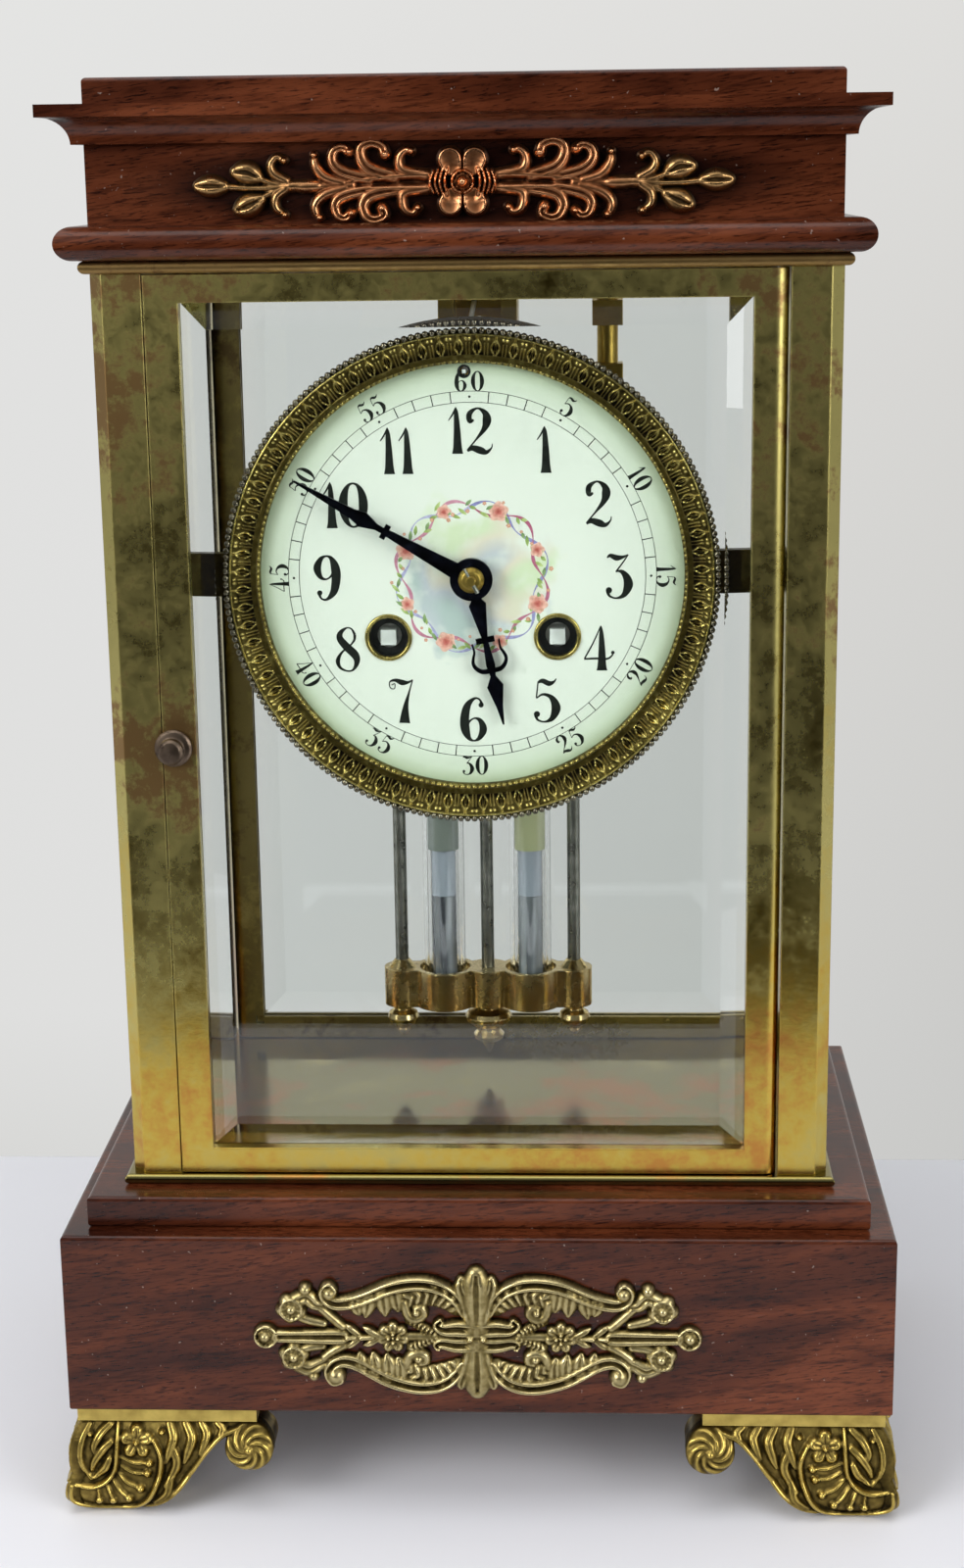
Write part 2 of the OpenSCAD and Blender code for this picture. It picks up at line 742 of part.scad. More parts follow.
module side_rails() {
    x = case_w / 2;
    d = side_open_d;
    color(brass)
    for (mx = [0, 1], mz = [0, 1]) mirror([mx, 0, 0])
        translate([0, d / 2, mz == 0 ? floor_z : roof_z]) mirror([0, 0, mz])
        rotate([90, 0, 0]) linear_extrude(d)
        polygon([
            [x - side_rail_t, 0], [x, 0], [x, side_rail_h - glass_seat],
            [x - side_seat, side_rail_h - glass_seat], [x - side_seat, side_rail_h],
            [x - side_rail_t, side_rail_h]
        ]);
}

// Bevelled pane in its own plane: edge at the back, raised middle at the front
module bevelled_pane(w, h) {
    rise = glass_t - glass_edge_t;
    shelf = glass_seat + bevel_w;
    intersection() {
        translate([0, h, 0]) rotate([90, 0, 0]) linear_extrude(2 * h) pane_outline(w, rise, shelf);
        translate([-w, 0, 0]) rotate([90, 0, 90]) linear_extrude(2 * w) pane_outline(h, rise, shelf);
    }
}

module pane_outline(w, rise, shelf) {
    e = w / 2;
    polygon([
        [-e, 0], [e, 0], [e, glass_edge_t], [e - glass_seat, glass_edge_t],
        [e - shelf, glass_edge_t + rise], [shelf - e, glass_edge_t + rise],
        [glass_seat - e, glass_edge_t], [-e, glass_edge_t]
    ]);
}

module side_glass() {
    w = side_open_d + 2 * glass_seat - 2 * glass_gap;
    h = side_open_h + 2 * glass_seat - 2 * glass_gap;
    color(pane)
    for (mx = [0, 1]) mirror([mx, 0, 0])
        translate([case_w / 2 - side_seat, 0, floor_z + case_h / 2]) rotate([90, 0, 90])
        bevelled_pane(w, h);
}

// Doors: the front one is drawn, the rear one is the same turned half round

module door_frame() {
    back = door_y + glass_back;
    edge = back + glass_edge_t + glass_gap;
    in_w = opening_w / 2;
    z0 = floor_z + door_gap;
    difference() {
        union() {
            // Stiles between the rails, the hinge stile with a round edge
            for (s = [-1, 1]) translate([s > 0 ? in_w : -in_w - stile_w, -hinge_y - door_t / 2, z0 + rail_h])
                cube([stile_w - (s > 0 ? door_t / 2 : 0), door_t, opening_h]);
            translate([hinge_x, -hinge_y, z0 + rail_h]) cylinder(h = opening_h, r = door_t / 2);
            // Rails across the full width
            for (z = [z0, z0 + door_h - rail_h]) {
                translate([-door_w / 2, -hinge_y - door_t / 2, z])
                    cube([door_w - door_t / 2, door_t, rail_h]);
                translate([hinge_x, -hinge_y, z]) cylinder(h = rail_h, r = door_t / 2);
            }
        }
        // Seat for the pane, open to the back
        translate([-in_w - glass_seat, -edge, z0 + rail_h - glass_seat])
            cube([opening_w + 2 * glass_seat, edge, opening_h + 2 * glass_seat]);
        // Holes for the hinge pins and for the knob's spindle
        for (z = [z0 - 1, z0 + door_h - hinge_pin_in]) translate([hinge_x, -hinge_y, z])
            cylinder(h = hinge_pin_in + 1, r = hinge_pin_r + running_gap);
        translate([-knob_x, 0, knob_z]) rotate([90, 0, 0])
            cylinder(h = case_d, r = knob_spindle_r + running_gap);
    }
    // Strips behind the pane
    strip = glass_seat - glass_gap;
    for (s = [-1, 1]) translate([s > 0 ? in_w + glass_gap : -in_w - glass_seat, -back, z0 + rail_h])
        cube([strip, glass_back, opening_h]);
    for (z = [z0 + rail_h - glass_seat, z0 + rail_h + opening_h + glass_gap])
        translate([-in_w, -back, z]) cube([opening_w, glass_back, strip]);
}

module door_glass() {
    w = opening_w + 2 * glass_seat - 2 * glass_gap;
    h = opening_h + 2 * glass_seat - 2 * glass_gap;
    translate([0, -door_y - glass_back, floor_z + case_h / 2]) rotate([90, 0, 0])
        bevelled_pane(w, h);
}

// Turned knob with its latch upright, so that the door is free; it turns down behind the post
module door_knob() {
    front = case_d / 2 + door_gap;
    latch_y = case_d / 2 - post_s - door_gap;
    translate([-knob_x, 0, knob_z]) {
        translate([0, -front, 0]) rotate([90, 0, 0]) rotate_extrude()
            polygon(concat(
                [[0, 0], [knob_flange_r, 0], [knob_flange_r, 0.9]],
                bezier([[knob_flange_r - 0.5, 1.3], [1.4, 1.6], [1.4, 2.6], [knob_button_r - 0.6, 3.2]], 6),
                [[knob_button_r, 3.6], [knob_button_r, 5.4], [knob_button_r - 0.6, 6], [0, 6.3]]
            ));
        translate([0, latch_t - latch_y, 0]) rotate([90, 0, 0])
            cylinder(h = front - latch_y + latch_t, r = knob_spindle_r);
        translate([-latch_h / 2, -latch_y, -latch_h / 2])
            cube([latch_h, latch_t, latch_h / 2 + latch_len]);
    }
}

module front_door_frame() {
    color(brass) door_frame();
}

module front_glass() {
    color(pane) door_glass();
}

module front_knob() {
    color(copper) door_knob();
}

module rear_door_frame() {
    color(brass) rotate([0, 0, 180]) door_frame();
}

module rear_glass() {
    color(pane) rotate([0, 0, 180]) door_glass();
}

module rear_knob() {
    color(copper) rotate([0, 0, 180]) door_knob();
}

// Movement frame

module plate_holes(center_hole) {
    run = running_gap;
    translate(center_p) circle(center_hole + run);
    for (p = [going_p, strike_p]) translate(p) circle(barrel_arbor_r + run);
    for (p = [second_p, third_p, escape_p, strike_second_p, pin_p, warning_p, fly_p])
        translate(p) circle(pivot_r + run);
}

module front_plate() {
    color(brass) {
        on_arbor(center_p, plate_in_w) linear_extrude(plate_t) difference() {
            circle(plate_r);
            plate_holes(center_arbor_r);
            for (p = [pallet_p, hammer_p]) translate(p) circle(pivot_r + running_gap);
        }
        // Studs that the minute wheel and the clicks turn on
        on_arbor(minute_p, plate_w - seam) cylinder(h = 5.4, r = center_arbor_r);
        for (s = [-1, 1]) on_arbor(click_pivot(s), plate_w - seam) cylinder(h = 2.6, r = click_stud_r);
    }
}

module back_plate() {
    color(brass) on_arbor(center_p, back_out_w) linear_extrude(plate_t) difference() {
        circle(plate_r);
        plate_holes(pivot_r);
        for (p = [pallet_p, hammer_p]) translate(p) circle(arbor_r + running_gap);
    }
}

module pillars() {
    waist = pillar_r - 0.7;
    color(brass)
    for (a = pillar_angles) on_arbor(along(center_p, a, pillar_at), back_in_w) rotate_extrude()
        polygon([
            [0, 0], [pillar_r, 0], [pillar_r, 3], [waist, 4], [waist, plate_gap - 4],
            [pillar_r, plate_gap - 3], [pillar_r, plate_gap], [0, plate_gap]
        ]);
}

// Bars from the front plate to the front posts
module movement_straps() {
    inner = plate_r - 9;
    outer = case_w / 2 - side_seat - 1.8;
    post_back = case_d / 2 - post_s;
    foot_in = case_w / 2 - post_s + 0.6;
    color(dark_brass)
    for (mx = [0, 1]) mirror([mx, 0, 0]) translate([0, 0, center_z - strap_h / 2]) {
        translate([inner, -plate_w - strap_t, 0]) cube([outer - inner, strap_t, strap_h]);
        translate([outer - strap_t, -post_back, 0]) cube([strap_t, post_back - plate_w, strap_h]);
        translate([foot_in, -post_back, 0]) cube([outer - foot_in, strap_t, strap_h]);
    }
}

// Bracket that carries the pendulum's spring and the end of the regulating arbor
module suspension_cock() {
    half = 10;
    low = pallet_p[1] + 2.5;
    high = regulator_p[1] + 3;
    back = pendulum_y + 4;
    leg = 4;
    foot_low = pallet_p[1] - 8;
    slot_half = 0.5;
    z = center_z;
    y0 = -back_out_w;
    color(brass) difference() {
        union() {
            for (s = [-1, 1]) translate([s * (half - leg / 2) - leg / 2, y0, z]) {
                translate([0, 0, foot_low]) cube([leg, 2.6, high - foot_low]);
                translate([0, 0, low + 2]) cube([leg, back - y0, high - low - 2]);
            }
            translate([-half, pendulum_y - 4, z + low]) cube([2 * half, 8, high - low]);
        }
        translate([-slot_half, pendulum_y - 5, z + low - 1]) cube([2 * slot_half, 10, 5]);
        on_arbor(regulator_p, -back - 1) cylinder(h = 10, r = regulator_r + running_gap);
    }
}

// Dial, drum and bezel

module dial() {
    rim = drum_r - drum_wall - 0.2;
    dome = 0.5;
    color(enamel) difference() {
        on_arbor(center_p, dial_w) rotate_extrude() polygon([
            [0, 0], [rim, 0], [rim, dial_t - dome],
            for (i = [8:-1:0]) [dial_show_r * i / 8, dial_t - dome * pow(i / 8, 2)]
        ]);
        on_arbor(center_p, dial_w - 1) cylinder(h = dial_t + 2, r = hour_pipe_r + 0.5);
        for (p = [going_p, strike_p]) on_arbor(p, dial_w - 1)
            cylinder(h = dial_t + 2, r = winding_hole_r + seam);
        on_arbor(regulator_p, dial_w - 1) cylinder(h = dial_t + 2, r = regulator_r + 0.9);
    }
}

module dial_drum() {
    foot_at = plate_r - 6;
    inner = drum_r - drum_wall;
    strap_clear = plate_w + strap_t + 0.4;
    color(brass) {
        difference() {
            on_arbor(center_p, 0) rotate_extrude() polygon([
                [flange_in_r, dial_w - flange_t], [inner, dial_w - flange_t], [inner, strap_clear],
                [drum_r, strap_clear], [drum_r, drum_front_w], [inner, drum_front_w],
                [inner, dial_w], [flange_in_r, dial_w]
            ]);
            on_arbor(regulator_p, dial_w - flange_t - 1)
                cylinder(h = flange_t + 2, r = regulator_r + 0.9);
        }
        // Feet that stand on the front plate
        for (a = [60, 130, 215, 325]) on_arbor(along(center_p, a, foot_at), plate_w)
            cylinder(h = dial_w - flange_t - plate_w + seam, r = 1.6);
    }
}

module bezel() {
    inner = drum_r - drum_wall - 0.2;
    f = bezel_front_w;
    d = dial_face_w - 0.5;
    bead = 0.8;
    inner_bead = [dial_show_r + 1.5, f - 3.6];
    eyelet_in = winding_hole_r - 0.4;
    eyelet_out = winding_hole_r + 0.6;
    color(brass) {
        on_arbor(center_p, 0) rotate_extrude() {
            polygon(concat(
                [[dial_show_r, d], [inner, d], [inner, drum_front_w], [bezel_r - 0.8, drum_front_w]],
                [[bezel_r - 0.3, drum_front_w + 1], [bezel_r - 0.9, f - 1.2], [bezel_r - 2, f - 0.6]],
                bezier([
                    [bezel_r - 2.4, f - 0.9], [bezel_r - 3.6, f - 0.3], inner_bead + [1.7, 1], inner_bead + [1.1, 0.6]
                ], 6),
                [inner_bead, [dial_show_r + 0.9, d + 1.2]]
            ));
            translate([bezel_r - bead, f - 1.4]) circle(bead);
            translate(inner_bead) circle(bead);
        }
        // Eyelets in the winding holes
        for (p = [going_p, strike_p]) on_arbor(p, dial_w) rotate_extrude() polygon([
            [eyelet_in, 0.2], [winding_hole_r - 0.05, 0.2], [winding_hole_r - 0.05, dial_t - 0.06],
            [eyelet_out, dial_t - 0.06], [eyelet_out - 0.2, dial_t + 0.6], [eyelet_in, dial_t + 0.6]
        ]);
    }
}

// Hands, drawn pointing up

module minute_hand() {
    cross = 23.4;
    neck = 0.85;
    half = [
        [2, 1.9], [hand_boss_r, 1.9], [cross - 0.7, neck], [cross - 0.7, 1.8], [cross + 0.7, 1.8],
        [cross + 0.7, 0.7], [cross + 2.5, 0.75], [cross + 6, 1.9], [cross + 9, 1.2], [minute_hand_len, 0.2]
    ];
    color(blued) on_arbor(center_p, minute_hand_w) rotate([0, 0, 60.3]) linear_extrude(hand_t)
    difference() {
        union() {
            circle(hand_boss_r);
            hand_outline(half);
        }
        circle(cannon_pipe_r + seam);
    }
}

module hand_outline(half) {
    last = len(half) - 1;
    polygon(concat(
        [for (i = [0:last]) [half[i][1], half[i][0]]],
        [for (i = [last:-1:0]) [-half[i][1], half[i][0]]]
    ));
}

module hour_hand() {
    cross = 15.3;
    fork = 22.9;
    spade = 26.8;
    half = [
        [3, 1.1], [hand_boss_r, 1.1], [hand_boss_r + 1.4, 2.1], [cross - 0.7, 0.75], [cross - 0.7, 2.25],
        [cross + 0.7, 2.25], [cross + 0.7, 0.65], [fork - 1.4, 1.1], [fork + 1.4, 0.65], [spade, 2],
        [spade + 5.2, 0.8], [hour_hand_len, 0.2]
    ];
    // Right prong of the fork, from the stem round to its tip
    prong = [
        [0.3, fork], [2.2, fork - 0.1], [3.5, fork - 1.1], [4.05, fork - 2.5], [3.7, fork - 3.9],
        [3.2, fork - 5.2], [3.3, fork - 7.1]
    ];
    color(blued) on_arbor(center_p, hour_hand_w) rotate([0, 0, -168.5]) linear_extrude(hand_t)
    difference() {
        union() {
            circle(hand_boss_r - 0.2);
            hand_outline(half);
            for (s = [-1, 1]) stem(spread(prong, s), 1.2, 0.4);
        }
        circle(hour_pipe_r + seam);
    }
}

module hand_nut() {
    w = minute_hand_w + hand_t;
    color(brass) on_arbor(center_p, w) rotate_extrude() polygon([
        [center_arbor_r + seam, 0], [3.1, 0], [3.1, 0.5], [2.2, 1.3], [center_arbor_r + seam, 1.5]
    ]);
}

// Motion work behind the dial

module cannon_pinion() {
    color(steel) difference() {
        union() {
            on_arbor(center_p, plate_w + 0.5) linear_extrude(2.2)
                toothed(motion_m, cannon_n, 0.7, 1, 3, bearing(center_p, minute_p) + 180 / cannon_n);
            on_arbor(center_p, plate_w + 0.5)
                cylinder(h = minute_hand_w + hand_t - plate_w - 0.5, r = cannon_pipe_r);
        }
        on_arbor(center_p, plate_w) cylinder(h = 30, r = center_arbor_r + seam);
    }
}

module minute_wheel() {
    from = bearing(center_p, minute_p) + 180;
    color(brass) difference() {
        union() {
            on_arbor(minute_p, plate_w + 0.6) linear_extrude(wheel_t)
                toothed(motion_m, minute_n, 0.7, 1, 2, from);
            on_arbor(minute_p, plate_w + 0.6) linear_extrude(4.4)
                toothed(hour_m, minute_pinion_n, 0.7, 1, 3, from);
        }
        on_arbor(minute_p, plate_w) cylinder(h = 10, r = center_arbor_r + running_gap);
    }
}

module hour_wheel() {
    w = plate_w + 3.2;
    color(brass) difference() {
        union() {
            on_arbor(center_p, w) linear_extrude(wheel_t)
                toothed(hour_m, hour_n, 0.7, 1, 2, bearing(center_p, minute_p) + 180 / hour_n);
            on_arbor(center_p, w) cylinder(h = hour_hand_w + hand_t - w, r = hour_pipe_r);
        }
        on_arbor(center_p, w - 1) cylinder(h = 20, r = cannon_pipe_r + running_gap);
    }
}

// Going train

module center_wheel() {
    color(brass) {
        at_depth(center_p, center_d, wheel_t) wheel(center_m, center_n, bearing(center_p, third_p), 5, 3.4);
        at_depth(center_p, second_d - 0.6, pinion_t - 0.6)
            pinion(second_m, pinion_n, bearing(second_p, center_p));
        on_arbor(center_p, back_in_w + end_shake)
            cylinder(h = minute_hand_w + hand_t + 2.4 - back_in_w - end_shake, r = center_arbor_r);
        on_arbor(center_p, back_out_w) cylinder(h = plate_t + 1, r = pivot_r);
    }
}

module going_second_wheel() {
    color(brass) {
        at_depth(second_p, second_d, wheel_t) wheel(second_m, second_n, bearing(second_p, center_p), 5, 3.4);
        at_depth(second_p, great_d - 0.6, pinion_t) pinion(great_m, pinion_n, bearing(going_p, second_p));
        arbor(second_p);
    }
}

module third_wheel() {
    color(brass) {
        at_depth(third_p, third_d, wheel_t) wheel(third_m, third_n, bearing(third_p, escape_p), 5, 3);
        at_depth(third_p, center_d - 0.6, pinion_t - 0.6)
            pinion(center_m, pinion_n, bearing(center_p, third_p));
        arbor(third_p);
    }
}

module escape_wheel() {
    root = escape_r - 1.5;
    step = 360 / escape_n;
    color(brass) {
        at_depth(escape_p, escape_d, 1) difference() {
            polygon([
                for (k = [0:escape_n - 1]) each [
                    along([0, 0], k * step, root),
                    along([0, 0], (k + 0.72) * step, escape_r),
                    along([0, 0], (k + 0.8) * step, escape_r),
                    along([0, 0], (k + 0.86) * step, root)
                ]
            ]);
            for (k = [0:3]) rotate(90 * k) polygon(concat(
                [for (a = [16, 37, 53, 74]) along([0, 0], a, root - 1.3)],
                [for (a = [58, 32]) along([0, 0], a, 3.2)]
            ));
        }
        at_depth(escape_p, third_d - 0.9, pinion_t) pinion(third_m, pinion_n, bearing(third_p, escape_p));
        arbor(escape_p);
    }
}

// Anchor over the escape wheel, its arbor, and the crutch behind the back plate
module pallets() {
    reach = escape_r + 0.9;
    arch = reach + 1.2;
    crutch_w = back_out_w - 1.2;
    crutch_len = 24;
    arm_t = 1.6;
    fork_in = rod_r + 0.25;
    color(steel) {
        at_depth(pallet_p, escape_d - 0.3, 1.6) {
            circle(2.4);
            stem([for (a = [44:11.5:136]) along([0, -pallet_rise], a, arch)], 1.8, 1.8);
            for (a = [44, 136])
                rod_2d(along([0, -pallet_rise], a, arch), along([0, -pallet_rise], a, reach), 1.4);
        }
        on_arbor(pallet_p, crutch_w - arm_t)
            cylinder(h = plate_in_w - end_shake - crutch_w + arm_t, r = arbor_r);
        on_arbor(pallet_p, plate_in_w - 1) cylinder(h = plate_t + 1, r = pivot_r);
        on_arbor(pallet_p, crutch_w - arm_t) linear_extrude(arm_t) {
            circle(2.2);
            translate([-1.1, -crutch_len]) square([2.2, crutch_len]);
        }
        // Fork round the pendulum rod
        translate([-fork_in - 1.2, -crutch_w, pallet_z - crutch_len]) difference() {
            cube([2 * fork_in + 2.4, pendulum_y + crutch_w + 3, 2]);
            translate([1.2, pendulum_y + crutch_w - fork_in, -1]) cube([2 * fork_in, 20, 4]);
        }
    }
}

// Barrels and winding work, the strike side being the going side mirrored in place

module barrel(p, partner) {
    color(brass) difference() {
        union() {
            at_depth(p, great_d, great_t)
                toothed(great_m, great_n, wheel_add, wheel_ded, 2, bearing(p, partner));
            at_depth(p, great_d, barrel_end_d - great_d) circle(barrel_r);
        }
        at_depth(p, great_d + great_t - 0.5, barrel_end_d - great_d - great_t - 0.7)
            circle(barrel_r - barrel_wall);
        at_depth(p, great_d - 1, barrel_end_d - great_d + 2) circle(barrel_arbor_r + running_gap);
    }
}

// Flat spring wound in the barrel, drawn part run down
module mainspring(p) {
    turns = 6;
    inner = barrel_arbor_r + 0.8;
    leaf = 0.5;
    outer = barrel_r - barrel_wall - leaf - seam;
    steps = 20 * turns;
    spiral = [for (i = [0:steps]) [inner + (outer - inner) * i / steps, 360 * turns * i / steps]];
    color(steel) at_depth(p, great_d + great_t + 0.6, barrel_end_d - great_d - great_t - 3)
        polygon(concat(
            [for (s = spiral) along([0, 0], s[1], s[0] + leaf)],
            [for (i = [steps:-1:0]) along([0, 0], spiral[i][1], spiral[i][0])]
        ));
}

module winding_arbor(p) {
    step = 360 / ratchet_n;
    color(steel) {
        on_arbor(p, back_out_w) cylinder(h = plate_w - back_out_w + 0.4, r = barrel_arbor_r);
        on_arbor(p, plate_w + 0.4) linear_extrude(1.6) polygon([
            for (k = [0:ratchet_n - 1]) each [
                along([0, 0], k * step, ratchet_r - 1.3), along([0, 0], (k + 0.9) * step, ratchet_r)
            ]
        ]);
        on_arbor(p, plate_w + 1) translate([0, 0, (dial_face_w - plate_w - 1) / 2])
            cube([winding_square, winding_square, dial_face_w - plate_w - 1], center = true);
    }
}

// Click that holds the going ratchet, on a stud of the front plate
module click() {
    pivot = click_pivot(1);
    nose = along(going_p, 62, ratchet_r + 0.9);
    color(steel) on_arbor(center_p, plate_w + 0.5) linear_extrude(1.5) difference() {
        union() {
            translate(pivot) circle(2.2);
            polygon([
                pivot + [0, 2], nose + [0, 1.4], nose, nose + [1.6, -0.9], pivot + [0, -1.6]
            ]);
        }
        translate(pivot) circle(click_stud_r + running_gap);
    }
}

module going_barrel() {
    barrel(going_p, second_p);
}

module going_mainspring() {
    mainspring(going_p);
}

module going_arbor() {
    winding_arbor(going_p);
}

module going_click() {
    click();
}

module strike_barrel() {
    barrel(strike_p, strike_second_p);
}

module strike_mainspring() {
    mainspring(strike_p);
}

module strike_arbor() {
    winding_arbor(strike_p);
}

module strike_click() {
    mirror([1, 0, 0]) click();
}

// Strike train

module strike_second_wheel() {
    p = strike_second_p;
    color(brass) {
        at_depth(p, strike_second_d, wheel_t) wheel(strike_second_m, second_n, bearing(p, pin_p), 5, 3.4);
        at_depth(p, great_d - 0.6, pinion_t) pinion(great_m, pinion_n, bearing(strike_p, p));
        arbor(p);
    }
}

module pin_wheel() {
    pins = 10;
    color(brass) {
        at_depth(pin_p, pin_d, wheel_t) wheel(pin_m, pin_n, bearing(pin_p, warning_p), 5, 2.8);
        at_depth(pin_p, strike_second_d - 0.6, pinion_t - 0.4)
            pinion(strike_second_m, pinion_n, bearing(strike_second_p, pin_p));
        at_depth(pin_p, pin_d - pin_len, pin_len + seam)
            for (k = [0:pins - 1]) translate(along([0, 0], 360 * k / pins, pin_at)) circle(lift_pin_r);
        arbor(pin_p);
    }
}

module warning_wheel() {
    color(brass) {
        at_depth(warning_p, warning_d, wheel_t)
            wheel(warning_m, warning_n, bearing(warning_p, fly_p), 4, 2.2);
        at_depth(warning_p, pin_d - 0.8, pinion_t) pinion(pin_m, pinion_n, bearing(pin_p, warning_p));
        arbor(warning_p);
    }
}

module fly() {
    vane = 4.2;
    color(brass) {
        at_depth(fly_p, warning_d - 0.8, pinion_t) pinion(warning_m, pinion_n, bearing(warning_p, fly_p));
        at_depth(fly_p, warning_d + 3.4, 8) translate([-vane, -0.4]) square([2 * vane, 0.8]);
        arbor(fly_p);
    }
}

// Hammer on its own arbor, reaching back to the gong
module hammer() {
    at = 163;
    head = along(center_p, at, gong_r - gong_step * (1 - at / 360) + gong_wire_r + 3.3);
    tail = along(pin_p, bearing(pin_p, hammer_p), pin_at + lift_pin_r + 0.4);
    arm_y = gong_y + 0.6;
    color(brass) {
        arbor(hammer_p);
        on_arbor(hammer_p, -arm_y) cylinder(h = arm_y + back_in_w, r = arbor_r);
        at_depth(center_p, pin_d - 1.3, 1) rod_2d(hammer_p, tail, 1.4);
        on_arbor(center_p, -arm_y) linear_extrude(1.4) {
            rod_2d(hammer_p, head, 1.6);
            translate(hammer_p) circle(2);
        }
        on_arbor(head, -arm_y - 0.8) rotate([0, 0, at]) translate([-2.3, -2, 0]) cube([5, 4, 3.6]);
    }
}

module rod_2d(p, q, w) {
    translate(p) rotate(bearing(p, q)) translate([0, -w / 2]) square([norm(q - p), w]);
}

// Gong: one flat coil of wire whose outer end runs straight up into its block

gong_y = case_d / 2 - gong_back;
gong_block_z = center_z + gong_r;
gong_ring = 24;
gong_sides = 6;

function gong_radius(i) = gong_r - gong_step * (gong_turns - i / gong_ring);
gong_path = concat(
    [[gong_radius(0), -2 * gong_wire_r]],
    [for (i = [0:gong_turns * gong_ring]) along([0, 0], 360 * i / gong_ring, gong_radius(i))],
    [for (k = [1:6]) [gong_r, gong_r * k / 6]]
);
gong_gap = min([
    for (i = [0:gong_turns * gong_ring])
        for (j = [i + gong_ring / 2 : 1 : gong_turns * gong_ring + 6])
            norm(gong_path[i] - gong_path[j])
]) - 2 * gong_wire_r;
echo(least_gap_between_gong_turns = gong_gap);

module gong() {
    last = len(gong_path) - 1;
    function heading(i) = bearing(gong_path[max(i - 1, 0)], gong_path[min(i + 1, last)]);
    points = [
        for (i = [0:last], k = [0:gong_sides - 1])
            let (a = 360 * k / gong_sides, across = heading(i) - 90)
            let (p = along(gong_path[i], across, gong_wire_r * cos(a)))
            [p[0], gong_y + gong_wire_r * sin(a), center_z + p[1]]
    ];
    walls = [
        for (i = [0:last - 1], k = [0:gong_sides - 1])
            let (a = i * gong_sides + k, b = i * gong_sides + (k + 1) % gong_sides)
            each [[a, b, b + gong_sides], [a, b + gong_sides, a + gong_sides]]
    ];
    ends = [
        for (k = [1:gong_sides - 2])
            each [[0, k + 1, k], [last * gong_sides, last * gong_sides + k, last * gong_sides + k + 1]]
    ];
    color(steel) polyhedron(points, concat(walls, ends));
}

// Bracket under the top plate, with the post and the block that hold the gong
module gong_stand() {
    block = 8;
    block_h = 12;
    bar_t = 3;
    bar_d = 14;
    color(brass) {
        translate([gong_r - block / 2, gong_y - block / 2, gong_block_z]) cube([block, block, block_h]);
        translate([gong_r, gong_y, gong_block_z + block_h - seam])
            cylinder(h = roof_z - gong_block_z - block_h, r = gong_post_r);
        translate([-38, gong_y - bar_d / 2 - 2, roof_z - bar_t]) cube([84, bar_d, bar_t]);
    }
}

// Pendulum, hung from its spring

module pendulum_rods() {
    spring_t = 0.2;
    color(steel) {
        translate([0, pendulum_y, bob_z - 8]) cylinder(h = rod_top_z - bob_z + 8, r = rod_r);
        for (s = [-1, 1]) translate([s * side_rod_x, pendulum_y, jar_z + 2.2])
            cylinder(h = bridge_z - jar_z - 2.2, r = rod_r);
        // Chop and leaf of the suspension spring
        translate([-1.4, pendulum_y - 3.5, rod_top_z - seam]) cube([2.8, 7, 5]);
        translate([-spring_t / 2, pendulum_y - 2.5, rod_top_z + 5 - 2 * seam])
            cube([spring_t, 5, pallet_z + 4 - rod_top_z - 5]);
    }
}

// Plan of the block and bridge, lobed round the jars and the rods
module bob_plan() {
    circle(6.2);
    translate([-side_rod_x, -4.4]) square([2 * side_rod_x, 8.8]);
    for (s = [-1, 1]) {
        translate([s * jar_x, 0]) circle(jar_r + 2.8);
        translate([s * side_rod_x, 0]) circle(4.9);
    }
}

// Turned drop under each side rod, as [radius, down]
finial = [
    [0, 0], [2.7, 0], [2.4, 1.6], [3.9, 2.6], [4.3, 4], [3.6, 5.6], [1.9, 6.8], [2, 7.6],
    [0.8, 9], [0, 9]
];

module bob_frame() {
    socket_d = 1.6;
    socket_r = jar_r + 1.3;
    color(brass) {
        translate([0, pendulum_y, bob_z]) difference() {
            linear_extrude(bob_h) bob_plan();
            for (s = [-1, 1]) translate([s * jar_x, 0, bob_h - jar_sunk]) cylinder(h = 5, r = jar_r + 0.1);
            for (s = [-1, 1]) translate([s * jar_x, 0, bob_h - socket_d]) cylinder(h = 5, r = socket_r);
            translate([0, 0, -1]) cylinder(h = bob_h + 2, r = rod_r + seam);
        }
        translate([0, pendulum_y, bridge_z]) difference() {
            linear_extrude(bridge_t) bob_plan();
            translate([0, 0, -1]) cylinder(h = bridge_t + 2, r = rod_r + seam);
            for (s = [-1, 1]) translate([s * jar_x, 0, -1]) cylinder(h = 3, r = jar_r + 0.1);
        }
        // Plugs that reach down to the tubes in the jars
        for (s = [-1, 1]) translate([s * jar_x, pendulum_y, vial_top_z])
            cylinder(h = bridge_z + 3 - vial_top_z, r = vial_r);
        for (s = [-1, 1]) translate([s * side_rod_x, pendulum_y, bob_z]) {
            mirror([0, 0, 1]) rotate_extrude() polygon(finial);
            translate([0, 0, bob_h]) cylinder(h = 2.2, r1 = 3.9, r2 = rod_r + 0.2);
        }
    }
}

module vials() {
    color(pane)
    for (s = [-1, 1]) translate([s * jar_x, pendulum_y, 0]) {
        difference() {
            translate([0, 0, jar_z - jar_sunk]) cylinder(h = jar_len + jar_sunk + 2, r = jar_r);
            translate([0, 0, vial_z]) cylinder(h = jar_len + jar_sunk + 2, r = jar_r - jar_wall);
        }
        difference() {
            translate([0, 0, vial_z]) cylinder(h = vial_len, r = vial_r);
            translate([0, 0, mercury_z]) cylinder(h = vial_len, r = mercury_r + seam);
        }
    }
}

